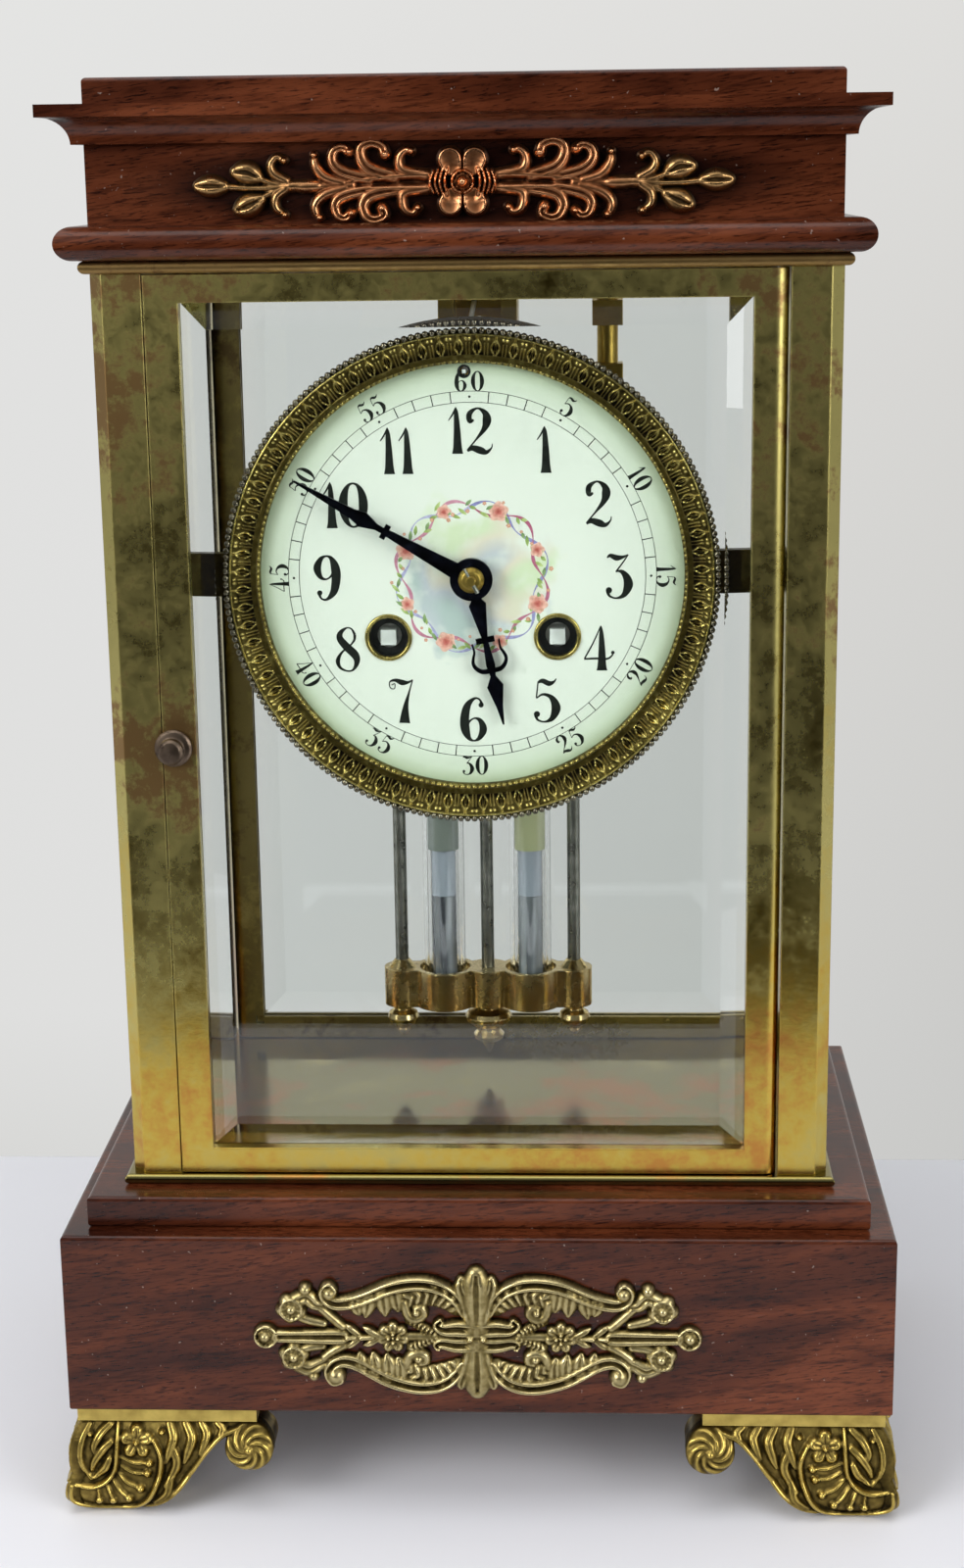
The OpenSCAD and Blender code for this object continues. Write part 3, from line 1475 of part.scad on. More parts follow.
module mercury() {
    color(quicksilver)
    for (s = [-1, 1]) translate([s * jar_x, pendulum_y, mercury_z])
        cylinder(h = mercury_h, r = mercury_r);
}

module rating_nut() {
    bore = rod_r + running_gap;
    color(brass) translate([0, pendulum_y, bob_z - nut_gap]) mirror([0, 0, 1]) rotate_extrude()
        polygon([
            [bore, 0], [3.3, 0], [3.1, 1], [5.6, 2], [6.4, 3.2], [6.2, 4.4], [4.6, 5.9], [3.1, 6.7],
            [3.2, 7.4], [4.2, 8.6], [3.9, 9.8], [2.2, 10.9], [1.5, 11.7], [0.5, 14], [0, 14], [0, 8.5],
            [bore, 8.5]
        ]);
}

module regulator_arbor() {
    rear = pendulum_y + 3;
    front = dial_face_w - 0.3;
    color(steel) {
        on_arbor(regulator_p, -rear) cylinder(h = rear + front - 3, r = regulator_r);
        on_arbor(regulator_p, front - 3 - seam) translate([-0.45, -0.45, 0]) cube([0.9, 0.9, 3]);
    }
}

feet();
plinth();
base_step();
base_plate();
corner_posts();
side_rails();
side_glass();
top_plate();
top_torus();
top_frieze();
top_cornice();
base_ornament();
top_ornament();
hinge_pins();
front_plate();
back_plate();
pillars();
dial();
bezel();
dial_drum();
movement_straps();
suspension_cock();
gong_stand();
gong();
front_door_frame();
front_glass();
front_knob();
rear_door_frame();
rear_glass();
rear_knob();
center_wheel();
cannon_pinion();
minute_hand();
hand_nut();
minute_wheel();
hour_wheel();
hour_hand();
going_barrel();
going_mainspring();
going_arbor();
going_click();
going_second_wheel();
third_wheel();
escape_wheel();
pallets();
strike_barrel();
strike_mainspring();
strike_arbor();
strike_click();
strike_second_wheel();
pin_wheel();
warning_wheel();
fly();
hammer();
pendulum_rods();
bob_frame();
vials();
mercury();
rating_nut();
regulator_arbor();
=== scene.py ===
import math

import bmesh
import bpy
import numpy as np
from mathutils import Matrix, Vector


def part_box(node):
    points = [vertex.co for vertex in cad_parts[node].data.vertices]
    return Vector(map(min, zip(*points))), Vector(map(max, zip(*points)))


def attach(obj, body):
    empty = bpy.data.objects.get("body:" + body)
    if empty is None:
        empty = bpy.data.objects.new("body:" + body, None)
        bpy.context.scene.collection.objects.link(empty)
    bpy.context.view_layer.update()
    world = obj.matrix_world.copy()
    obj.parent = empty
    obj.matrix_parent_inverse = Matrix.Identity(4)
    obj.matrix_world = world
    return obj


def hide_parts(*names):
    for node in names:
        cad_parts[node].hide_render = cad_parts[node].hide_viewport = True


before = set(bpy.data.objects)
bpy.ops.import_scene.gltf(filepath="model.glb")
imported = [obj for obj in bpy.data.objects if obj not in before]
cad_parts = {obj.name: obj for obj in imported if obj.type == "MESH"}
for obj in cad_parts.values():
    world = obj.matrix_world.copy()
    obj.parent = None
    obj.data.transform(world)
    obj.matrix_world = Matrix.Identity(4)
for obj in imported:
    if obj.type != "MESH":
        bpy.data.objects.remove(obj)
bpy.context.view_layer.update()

scene = bpy.context.scene
# a millimetre in metres, the distance in metres at which points are welded, and a length next to nothing
millimetre = 0.001
weld = 2e-7
tiny = 1e-9
print("frame loaded:", len(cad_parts), "nodes")


# sRGB hex to linear red, green, blue and alpha
def linear(code, alpha=1.0):
    c = np.array([int(code[i:i + 2], 16) for i in (1, 3, 5)]) / 255
    c = np.where(c <= 0.04045, c / 12.92, ((c + 0.055) / 1.055) ** 2.4)
    return (*c.tolist(), alpha)


# one shader node: sockets are linked, stops fill a ramp, lower-case settings are properties, others inputs
def addNode(tree, kind, settings=None):
    node = tree.nodes.new("ShaderNode" + kind)
    for key, value in (settings or {}).items():
        if key == "stops":
            elements = node.color_ramp.elements
            while len(elements) < len(value):
                elements.new(0.5)
            for stop, (at, code) in zip(elements, value):
                stop.position = at
                stop.color = linear(code)
        elif isinstance(value, bpy.types.NodeSocket):
            tree.links.new(value, node.inputs[key])
        elif isinstance(key, str) and key[0].islower():
            setattr(node, key, value)
        else:
            node.inputs[key].default_value = value
    return node


# empty material with its tree and object coordinates
def newMaterial(name):
    made = bpy.data.materials.new(name)
    made.use_nodes = True
    tree = made.node_tree
    tree.nodes.clear()
    return made, tree, addNode(tree, "TexCoord").outputs["Object"]


# lowest and highest corner of a node, in millimetres
def boxOf(node):
    return [np.array(corner) * 1000 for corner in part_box(node)]


# a shape is (points in millimetres, [faces], tags), a tag being one number for each point

# Catmull-Rom curve through the rows, with so many steps between each pair
def smooth(rows, steps):
    p = np.asarray(rows, float)
    if len(p) < 2:
        return p
    q = np.vstack([2 * p[0] - p[1], p, 2 * p[-1] - p[-2]])
    t = np.arange(steps)[None, :, None] / steps
    a, b, c, d = (q[i:len(q) - 3 + i, None, :] for i in range(4))
    curve = 0.5 * (2 * b + (c - a) * t + (2 * a - 5 * b + 4 * c - d) * t ** 2
                   + (3 * b - 3 * c + d - a) * t ** 3)
    return np.vstack([curve.reshape(-1, p.shape[1]), p[-1:]])


# cubic curve of four control points, at n + 1 steps
def bezier(p, n):
    t = np.linspace(0, 1, n + 1)[:, None]
    a, b, c, d = np.asarray(p, float)
    return (1 - t) ** 3 * a + 3 * t * (1 - t) ** 2 * b + 3 * t ** 2 * (1 - t) * c + t ** 3 * d


# quads between the rows and columns of a grid of points, closed round either way
def sheet(points, loopRows=False, loopColumns=False, tags=None):
    n, m = points.shape[:2]
    index = np.arange(n * m).reshape(n, m)
    if loopRows:
        index = np.vstack([index, index[:1]])
    if loopColumns:
        index = np.hstack([index, index[:, :1]])
    quads = np.stack([index[:-1, :-1], index[1:, :-1], index[1:, 1:], index[:-1, 1:]], -1)
    return points.reshape(-1, 3), [quads.reshape(-1, 4)], {k: v.reshape(-1) for k, v in (tags or {}).items()}


# several shapes as one, missing tags filled with 0.5
def join(shapes):
    names = {name for shape in shapes for name in shape[2]}
    points, faces, tags, at = [], [], {name: [] for name in names}, 0
    for p, f, t in shapes:
        points.append(p)
        faces += [part + at for part in f]
        for name in names:
            tags[name].append(t.get(name, np.full(len(p), 0.5)))
        at += len(p)
    return np.vstack(points), faces, {name: np.concatenate(t) for name, t in tags.items()}


# the same shape moved by a function of its points
def moved(shape, place):
    return place(shape[0]), shape[1], shape[2]


# the same shape turned in its own plane by an angle in degrees, then shifted
def turned(shape, angle, shift=(0, 0, 0)):
    c, s = math.cos(math.radians(angle)), math.sin(math.radians(angle))
    return moved(shape, lambda p: p @ np.array([[c, s, 0], [-s, c, 0], [0, 0, 1]]) + np.asarray(shift, float))


# turned shape: rows of (radius, height) carried round the upright axis, a loop unless it starts on it
def lathe(rows, around, loop=False):
    rows = np.asarray(rows, float)
    a = np.linspace(0, 2 * np.pi, around, endpoint=False)
    r, h = rows[:, :1], rows[:, 1:2]
    points = np.stack([r * np.cos(a), r * np.sin(a), h + 0 * a], -1)
    return sheet(points, loopRows=loop, loopColumns=True)


# small round bead of radius 1, a few dozen faces
def bead(around=8, rings=5):
    t = np.linspace(0, np.pi, rings)
    return lathe(np.stack([np.sin(t), np.cos(t)], -1), around)


# copies of a shape at many centres with a radius each
def scatter(shape, centres, radii):
    centres = np.asarray(centres, float)
    radii = np.broadcast_to(np.asarray(radii, float), len(centres))
    points = centres[:, None] + radii[:, None, None] * shape[0][None]
    shift = (np.arange(len(centres)) * len(shape[0]))[:, None, None]
    faces = [(f[None] + shift).reshape(-1, f.shape[1]) for f in shape[1]]
    return points.reshape(-1, 3), faces, {}


# flat band along rows of (x, y, half width), t thick, its ends closed; a single row is a round dot
def ribbon(rows, t, steps=6, around=20):
    if len(rows) == 1:
        x, y, r = rows[0]
        return moved(lathe([(0, 0), (r, 0), (r, t), (0, t)], around), lambda p: p + [x, y, 0])
    c = smooth(rows, steps)
    way = np.gradient(c[:, :2], axis=0)
    way /= np.maximum(np.linalg.norm(way, axis=1, keepdims=True), tiny)
    side = np.stack([-way[:, 1], way[:, 0]], -1) * np.maximum(c[:, 2:3], 0.004)
    corners = ((side, t), (-side, t), (-side, 0), (side, 0))
    edge = [np.column_stack([c[:, :2] + p, np.full(len(c), z)]) for p, z in corners]
    along = np.repeat(np.linspace(0, 1, len(c))[:, None], 4, 1)
    points, faces, tags = sheet(np.stack(edge, 1), loopColumns=True, tags={"edge": along})
    last = len(points) - 4
    caps = np.array([[0, 1, 2, 3], [last + 3, last + 2, last + 1, last]])
    return points, faces + [caps], tags


# blot of paint: a disc whose radius is r (1 + depth cos(lobes a)), t thick in the middle
def blot(x, y, r, t, lobes=0, depth=0.0, turn=0.0, around=20):
    a = np.linspace(0, 2 * np.pi, around, endpoint=False)
    f = np.array([0.0, 0.45, 0.8, 1.0, 1.0])[:, None]
    up = np.array([1.0, 1.0, 0.9, 0.6, 0.0])[:, None] * t
    reach = r * (1 + depth * np.cos(lobes * a + turn))
    points = np.stack([x + f * reach * np.cos(a), y + f * reach * np.sin(a), up + 0 * a], -1)
    return sheet(points, loopColumns=True, tags={"edge": f + 0 * a})


# the same shape with its colour running from heart to rim along its edge tag
def painted(shape, heart, rim):
    edge = shape[2].get("edge", np.zeros(len(shape[0])))
    tint = np.outer(1 - edge, linear(heart)[:3]) + np.outer(edge, linear(rim)[:3])
    return shape[0], shape[1], dict(zip(("red", "green", "blue"), tint.T))


# makes the mesh, welds it, turns its faces outwards and hands it to a body
def makePiece(name, shape, material, body, replaces=(), sharp=35.0):
    points, faces, tags = shape
    sizes = np.concatenate([np.full(len(f), f.shape[1]) for f in faces])
    mesh = bpy.data.meshes.new(name)
    mesh.vertices.add(len(points))
    mesh.vertices.foreach_set("co", (points * millimetre).astype(np.float32).ravel())
    mesh.loops.add(int(sizes.sum()))
    mesh.loops.foreach_set("vertex_index", np.concatenate([f.ravel() for f in faces]).astype(np.int32))
    mesh.polygons.add(len(sizes))
    mesh.polygons.foreach_set("loop_start", (np.cumsum(sizes) - sizes).astype(np.int32))
    mesh.update(calc_edges=True)
    if "worn" in tags:
        worn = mesh.attributes.new("worn", "FLOAT", "POINT")
        worn.data.foreach_set("value", tags["worn"].astype(np.float32))
    if "red" in tags:
        tint = np.stack([tags["red"], tags["green"], tags["blue"], np.ones(len(points))], -1)
        paint = mesh.attributes.new("paint", "FLOAT_COLOR", "POINT")
        paint.data.foreach_set("color", tint.astype(np.float32).ravel())
    work = bmesh.new()
    work.from_mesh(mesh)
    bmesh.ops.remove_doubles(work, verts=work.verts, dist=weld)
    bmesh.ops.recalc_face_normals(work, faces=work.faces)
    work.to_mesh(mesh)
    work.free()
    mesh.polygons.foreach_set("use_smooth", np.ones(len(mesh.polygons), bool))
    mesh.set_sharp_from_angle(angle=math.radians(sharp))
    mesh.materials.append(material)
    made = bpy.data.objects.new(name, mesh)
    scene.collection.objects.link(made)
    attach(made, body)
    if replaces:
        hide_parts(*replaces)
    print(name + ":", len(mesh.polygons), "faces")


# cross-sections of a stroke: q is the distance from its spine over its half width, s runs along it
sections = {
    "round": lambda q, s: (1 - q ** 2) ** 0.7,
    "leaf": lambda q, s: (1 - q ** 2) ** 0.6 * (1 - 0.4 * np.exp(-(q / 0.2) ** 2)),
    "double": lambda q, s: np.clip(1 - ((q - 0.52) / 0.48) ** 2, 0.25, 1),
    "rope": lambda q, s: (1 - q ** 2) ** 0.6 * (0.7 + 0.3 * np.cos(2 * np.pi * s / 1.1 + 2.4 * q)),
    "lobed": lambda q, s: (1 - q ** 2) ** 0.5 * (0.74 + 0.26 * np.cos(2 * np.pi * (s / 2.1 - 0.5 * q))),
    "petal": lambda q, s: np.clip(4 * (1 - q), 0, 1) * (0.7 + 0.3 * q ** 2),
    "hollow": lambda q, s: np.where(q < 0.62, 0.45 + 0.3 * (q / 0.62) ** 2,
                                    np.clip(1 - ((q - 0.8) / 0.2) ** 2, 0, 1)),
}


# cover and height of a set of strokes on a grid: cover is the largest (half width - distance),
# height the largest base + rise * section
def reliefMap(strokes, us, vs, base, margin=1.5, outside=-2.0):
    across, up = np.meshgrid(us, vs, indexing="ij")
    cover = np.full(across.shape, outside)
    height = np.full(across.shape, base)
    for section, rows in strokes:
        spine = smooth(rows, 6)
        reach = spine[:, 2].max() + margin
        i0, i1 = np.searchsorted(us, [spine[:, 0].min() - reach, spine[:, 0].max() + reach])
        j0, j1 = np.searchsorted(vs, [spine[:, 1].min() - reach, spine[:, 1].max() + reach])
        if i1 <= i0 or j1 <= j0:
            continue
        p = np.stack([across[i0:i1, j0:j1], up[i0:i1, j0:j1]], -1)
        if len(spine) == 1:
            d = np.linalg.norm(p - spine[0, :2], axis=-1)
            w, rise, s = spine[0, 2], spine[0, 3], d * 0
        else:
            a, ab = spine[:-1], np.diff(spine, axis=0)
            long = np.maximum((ab[:, :2] ** 2).sum(-1), tiny)
            t = np.clip(((p[:, :, None] - a[:, :2]) * ab[:, :2]).sum(-1) / long, 0, 1)
            gap = np.linalg.norm(p[:, :, None] - a[:, :2] - t[..., None] * ab[:, :2], axis=-1)
            wide = a[:, 2] + t * ab[:, 2]
            best = np.argmax(wide - gap, axis=-1)[..., None]
            start = np.concatenate([[0], np.cumsum(np.sqrt(long))])[:-1]
            d, w, rise, s = (np.take_along_axis(x, best, -1)[..., 0] for x in (
                gap, wide, a[:, 3] + t * ab[:, 3], start + t * np.sqrt(long)))
        q = np.clip(d / np.maximum(w, 1e-3), 0, 1)
        cover[i0:i1, j0:j1] = np.maximum(cover[i0:i1, j0:j1], w - d)
        raised = np.where(w > d, base + rise * sections[section](q, s), base)
        height[i0:i1, j0:j1] = np.maximum(height[i0:i1, j0:j1], raised)
    return cover, height


# mean over a square window of 2 r + 1 cells
def blurred(grid, r):
    for axis in (0, 1):
        padded = np.pad(grid, [(r + 1, r) if k == axis else (0, 0) for k in (0, 1)], mode="edge")
        total = np.cumsum(padded, axis=axis)
        n, window = grid.shape[axis], 2 * r + 1
        grid = (np.take(total, range(window, window + n), axis) - np.take(total, range(n), axis)) / window
    return grid


# cast plate from a height map: cells that the cover reaches are kept, corners outside it slide onto
# its edge, the back is flat, and walls close the rim; worn is high on ridges and low in hollows
def reliefShape(cover, height, us, vs, place, sunk, wear=0.8, ridge=0.9, backWorn=0.2):
    across, up = np.meshgrid(us, vs, indexing="ij")
    step = us[1] - us[0]
    gu, gv = np.gradient(cover, us, vs)
    pull = np.where(cover < 0, -cover, 0) / np.maximum(gu ** 2 + gv ** 2, 0.3)
    across = across + np.clip(pull * gu, -step, step)
    up = up + np.clip(pull * gv, -step, step)
    inside = cover > 0
    kept = inside[:-1, :-1] | inside[1:, :-1] | inside[:-1, 1:] | inside[1:, 1:]
    height = 0.6 * height + 0.4 * blurred(height, 1)
    worn = np.clip(0.5 + wear * (height - blurred(height, max(2, int(ridge / step)))), 0.1, 1)
    n, m = across.shape
    i, j = np.nonzero(kept)
    front = np.stack([i * m + j, (i + 1) * m + j, (i + 1) * m + j + 1, i * m + j + 1], -1)
    pad = np.pad(kept, 1)
    i, j = np.nonzero(pad[1:, 1:-1] ^ pad[:-1, 1:-1])
    k, l = np.nonzero(pad[1:-1, 1:] ^ pad[1:-1, :-1])
    a = np.concatenate([i * m + j, k * m + l])
    b = np.concatenate([i * m + j + 1, (k + 1) * m + l])
    walls = np.stack([a, b, b + n * m, a + n * m], -1)
    faces = np.vstack([front, front[:, ::-1] + n * m, walls])
    used, faces = np.unique(faces, return_inverse=True)
    points = np.vstack([place(across.ravel(), up.ravel(), height.ravel()),
                        place(across.ravel(), up.ravel(), np.full(n * m, -sunk))])
    tags = {"worn": np.concatenate([worn.ravel(), np.full(n * m, backWorn)])[used]}
    return points[used], [faces.reshape(-1, 4)], tags


# strokes with their mirror images across the upright axis
def mirrored(strokes):
    return strokes + [(s, [(-r[0], *r[1:]) for r in rows]) for s, rows in strokes]


# the same strokes with their half widths and rises multiplied, broad discs left as they are
def fuller(strokes, wider, taller, broad=3):
    return [(s, [(u, v, w * wider if w < broad else w, h * taller) for u, v, w, h in rows])
            for s, rows in strokes]


# flower of petals round a centre, with a ball in the middle
def flower(x, y, petals, at, r, rise, heart, turn=90.0):
    a = np.radians(turn + 360 / petals * np.arange(petals))
    leaves = [("leaf", [(x + 0.35 * at * c, y + 0.35 * at * s, 0.6 * r, rise * 0.6),
                        (x + at * c, y + at * s, r, rise)]) for c, s in zip(np.cos(a), np.sin(a))]
    return leaves + [("round", [(x, y, heart, rise * 1.35)])]


# cloudy noise with grains of a size in metres
def noise(tree, at, size, detail, **more):
    settings = {"Scale": 1 / size, "Detail": detail, "Vector": at}
    return addNode(tree, "TexNoise", {**settings, **more}).outputs["Fac"]


# colour of a value between stops of (value, colour)
def ramp(tree, value, *stops):
    return addNode(tree, "ValToRGB", {"stops": stops, "Fac": value}).outputs[0]


# value carried from one span to another, straight or by an S-curve
def carried(tree, value, span, to=(0.0, 1.0), curve="LINEAR"):
    return addNode(tree, "MapRange", {"interpolation_type": curve, "Value": value, "From Min": span[0],
                                      "From Max": span[1], "To Min": to[0], "To Max": to[1]}).outputs[0]


# two numbers put together by one operation
def reckon(tree, operation, one, two=0.0):
    return addNode(tree, "Math", {"operation": operation, 0: one, 1: two}).outputs[0]


# two colours mixed, or the second laid over the first in another way
def blend(tree, share, one, two, way="MIX"):
    return addNode(tree, "MixRGB", {"blend_type": way, "Fac": share, "Color1": one, "Color2": two}).outputs[0]


# one coordinate of a place
def axisOf(tree, place, axis):
    return addNode(tree, "SeparateXYZ", {"Vector": place}).outputs[axis]


# place measured from a middle, in units of a scale for each axis, and its distance from there
def placeFrom(tree, coords, shift, scale):
    place = addNode(tree, "Mapping", {"Location": shift, "Scale": scale, "Vector": coords}).outputs[0]
    return place, addNode(tree, "VectorMath", {"operation": "LENGTH", 0: place}).outputs["Value"]


# normal of a surface with fine ups and downs
def bumped(tree, height, strength, distance, **more):
    settings = {"Strength": strength, "Distance": distance, "Height": height}
    return addNode(tree, "Bump", {**settings, **more}).outputs[0]


# the material with a principled surface
def principled(made, settings):
    shader = addNode(made.node_tree, "BsdfPrincipled", settings)
    addNode(made.node_tree, "OutputMaterial", {"Surface": shader.outputs[0]})
    return made


# French-polished mahogany: a soft ribbon figure, short dark flecks and pores along the grain, a clear gloss
def polishedMahogany(name, look):
    made, tree, coords = newMaterial(name)
    turn = (0, math.radians(look["tilt"]), 0)
    tilted = addNode(tree, "Mapping", {"Rotation": turn, "Vector": coords}).outputs[0]
    layers = {}
    for layer, (along, across) in look["grain"].items():
        stretch = addNode(tree, "Mapping", {"Scale": (1 / along, 1 / across, 1 / across), "Vector": tilted})
        layers[layer] = noise(tree, stretch.outputs[0], 1.0, 3.0, Distortion=0.4)
    wood = ramp(tree, layers["figure"], *look["tones"])
    for layer, start, full, tint in look["marks"]:
        mark = ramp(tree, layers[layer], (start, "#ffffff"), (full, tint))
        wood = blend(tree, 1.0, wood, mark, "MULTIPLY")
    # the wood darker round the mount, fading out over its reach
    darkRoundMount = look["darkRoundMount"]
    shift = tuple(-c / r for c, r in zip(darkRoundMount["at"], darkRoundMount["reach"]))
    away = placeFrom(tree, coords, shift, tuple(1000 / r for r in darkRoundMount["reach"]))[1]
    depth = carried(tree, away, darkRoundMount["fade"], curve="SMOOTHSTEP")
    wood = blend(tree, depth, wood, linear(darkRoundMount["tint"]), "MULTIPLY")
    # dust that has settled on the polish, in specks about half a millimetre across
    dust = ramp(tree, noise(tree, coords, look["speck"], 1.0), *look["speckle"])
    wood = blend(tree, dust, wood, linear(look["dust"]))
    return principled(made, {
        "IOR": 1.45, "Specular IOR Level": 0.3, "Coat Weight": 0.08, "Coat Roughness": 0.08,
        "Base Color": wood, "Roughness": carried(tree, layers["figure"], (0.3, 0.7), (0.2, 0.3)),
        "Normal": bumped(tree, layers["pore"], 0.1, 0.0002)})


# lacquered brass that has tarnished unevenly: warm and clean yellow where the lacquer held, then olive, then
# brown patches from the level turn on; with a span (axis, from, to) the tone grows darker along it, painted
# shade for the dark room it reflects there, and edges rubbed round catch the light
def agedBrass(name, clean, dull, brown, rough=0.25, span=None, patch=0.05, more=0.0, warm=None, turn=0.625,
              grain=0.42):
    made, tree, coords = newMaterial(name)
    fine = noise(tree, coords, 0.005, 6.0, Roughness=0.72)
    level = blend(tree, grain, noise(tree, coords, patch, 5.0, Roughness=0.62), fine)
    level = reckon(tree, "ADD", level, more)
    # painted shade: darker along the span, for the dark room reflected there
    if span:
        rise = carried(tree, axisOf(tree, coords, span[0]), span[1:], (-0.16, 0.05), "SMOOTHSTEP")
        level = reckon(tree, "ADD", level, rise)
    colour = ramp(tree, level, (0.24, warm or clean), (0.34, clean), (0.5, dull), (0.57, dull), (turn, brown))
    edge = addNode(tree, "Bevel", {"Radius": 0.0005}).outputs[0]
    return principled(made, {
        "Metallic": 1.0, "Base Color": colour,
        "Roughness": carried(tree, level, (0.38, 0.62), (rough, rough + 0.2)),
        "Normal": bumped(tree, fine, 0.06, 0.0003, Normal=edge)})


# cast brass with the gilding worn off its ridges and old lacquer left dark in the hollows, as tones (low,
# middle, high); tips are the tones that take over towards the ends of a mount, over a reach off its middle
def castMount(name, tones, rough=0.3, tips=None, reach=(0.03, 0.045)):
    made, tree, coords = newMaterial(name)
    levels = (0.15, 0.45, 0.8)
    worn = addNode(tree, "Attribute", {"attribute_name": "worn"}).outputs["Fac"]
    fine = noise(tree, coords, 0.0015, 3.0)
    grime = blend(tree, 0.5, fine, noise(tree, coords, 0.012, 3.0))
    total = reckon(tree, "ADD", worn, carried(tree, grime, (0.3, 0.7), (-0.16, 0.16)))
    tone = ramp(tree, total, *zip(levels, tones))
    if tips:
        off = reckon(tree, "ABSOLUTE", axisOf(tree, coords, "X"))
        tone = blend(tree, carried(tree, off, reach), tone, ramp(tree, total, *zip(levels, tips)))
    return principled(made, {
        "Metallic": 1.0, "Base Color": tone,
        "Roughness": carried(tree, total, (0.2, 0.8), (rough + 0.25, rough)),
        "Normal": bumped(tree, fine, 0.2, 0.0002)})


# cast brass foot: dark lacquered casting up to the given height, a cleaned plate above it
def footBrass(name, plate, cast, dark, level):
    made, tree, coords = newMaterial(name)
    fine = noise(tree, coords, 0.004, 5.0)
    casting = ramp(tree, fine, (0.4, dark), (0.62, cast))
    rolled = ramp(tree, fine, (0.35, plate), (0.75, cast))
    over = reckon(tree, "GREATER_THAN", axisOf(tree, coords, "Z"), level)
    return principled(made, {"Metallic": 1.0, "Base Color": blend(tree, over, casting, rolled),
                             "Roughness": carried(tree, fine, (0.3, 0.7), (0.28, 0.42))})


# bare, blued or liquid metal: a fine cloudy tone, drawn out upwards where along is small
def plainMetal(name, one, two, rough, size=0.004, along=1.0, metal=1.0):
    made, tree, coords = newMaterial(name)
    drawn = addNode(tree, "Mapping", {"Scale": (1.0, 1.0, along), "Vector": coords}).outputs[0]
    cloud = noise(tree, drawn, size, 4.0)
    return principled(made, {"Metallic": metal, "Base Color": ramp(tree, cloud, (0.35, one), (0.65, two)),
                             "Roughness": carried(tree, cloud, (0.3, 0.7), (rough, rough + 0.15))})


# plain matt coating
def plainMatt(name, colour):
    return principled(newMaterial(name)[0], {"Base Color": linear(colour), "Roughness": 0.6})


# plate glass, faintly sea-green through its thickness where it has a density; lamps shine through it
def plateGlass(name, tint, density):
    made, tree, _ = newMaterial(name)
    glass = addNode(tree, "BsdfPrincipled", {"Base Color": (1, 1, 1, 1), "Roughness": 0.0, "IOR": 1.5,
                                             "Transmission Weight": 1.0})
    clear = addNode(tree, "BsdfTransparent", {"Color": linear("#f2f8f5")})
    shadow = addNode(tree, "LightPath").outputs["Is Shadow Ray"]
    mix = addNode(tree, "MixShader", {0: shadow, 1: glass.outputs[0], 2: clear.outputs[0]})
    out = addNode(tree, "OutputMaterial", {"Surface": mix.outputs[0]})
    if density:
        body = addNode(tree, "VolumeAbsorption", {"Color": linear(tint), "Density": density})
        tree.links.new(body.outputs[0], out.inputs["Volume"])
    return made


# fired white enamel on copper: glossy, greener and darker towards its rim, partly thicker glaze and partly
# painted shade of the bezel, with a soft cloud wash round the middle
def firedEnamel(name, middle):
    made, tree, coords = newMaterial(name)
    flat, far = placeFrom(tree, coords, (0, 0, -middle), (1, 0, 1))
    # rim darker and greener: partly the thicker glaze, partly painted shade and reflection from the bezel
    ground = ramp(tree, carried(tree, far, (0.0, 0.051)),
                  (0.4, "#ebebe2"), (0.8, "#e6e8dd"), (0.93, "#d5dcc8"), (1.0, "#b7c1a2"))
    puff = ramp(tree, noise(tree, coords, 0.016, 1.0),
                (0.38, "#a3b6b6"), (0.48, "#b9bccb"), (0.56, "#e3d3bd"), (0.64, "#d3dfb4"))
    near = carried(tree, far, (0.012, 0.027), (0.16, -0.2))
    cloudy = reckon(tree, "ADD", noise(tree, flat, 0.011, 4.0, Roughness=0.55), near)
    wash = carried(tree, cloudy, (0.5, 0.68), (0.0, 0.75))
    return principled(made, {"Roughness": 0.16, "IOR": 1.5, "Base Color": blend(tree, wash, ground, puff)})


# painted enamel colours, fired on the glaze: the colour of each stroke with a fine broken tone
def enamelPaint(name):
    made, tree, coords = newMaterial(name)
    paint = addNode(tree, "Attribute", {"attribute_name": "paint"}).outputs["Color"]
    tone = ramp(tree, noise(tree, coords, 0.0007, 2.0), (0.3, "#d8d2cc"), (0.6, "#ffffff"))
    colour = blend(tree, 0.8, paint, tone, "MULTIPLY")
    return principled(made, {"Roughness": 0.22, "IOR": 1.5, "Base Color": colour})


# dark enamel paint for the numerals, slightly raised and glossy
def numeralBlack(name):
    made, tree, coords = newMaterial(name)
    colour = ramp(tree, noise(tree, coords, 0.0012, 2.0), (0.3, "#0d0f0c"), (0.7, "#1d211c"))
    return principled(made, {"Roughness": 0.3, "IOR": 1.5, "Base Color": colour})


# places that finishes and pieces share, in millimetres
shared = {"footPlate": 3.5, "mountUp": 0.48}
footTop = boxOf("feet")[1][2] - shared["footPlate"]
dialLow, dialHigh = boxOf("dial")
dialZ = (dialLow[2] + dialHigh[2]) / 2
friezeLow, friezeHigh = boxOf("top_frieze")
friezeZ = friezeLow[2] + shared["mountUp"] * (friezeHigh[2] - friezeLow[2])
mahogany = {
    "tilt": 7.0, "grain": {"figure": (0.06, 0.012), "fleck": (0.009, 0.001), "pore": (0.003, 0.0004)},
    "tones": [(0.3, "#32140a"), (0.5, "#4e2412"), (0.7, "#6a361e")],
    "marks": [("fleck", 0.5, 0.68, "#bab0a8"), ("pore", 0.55, 0.66, "#9a9088")],
    "darkRoundMount": {"at": (0.0, friezeLow[1], friezeZ), "reach": (80.0, 14.0, 11.0), "fade": (1.05, 0.7),
              "tint": "#685e5c"},
    "speck": 0.0011, "speckle": [(0.755, "#000000"), (0.8, "#a0a0a0")], "dust": "#b3a196",
}
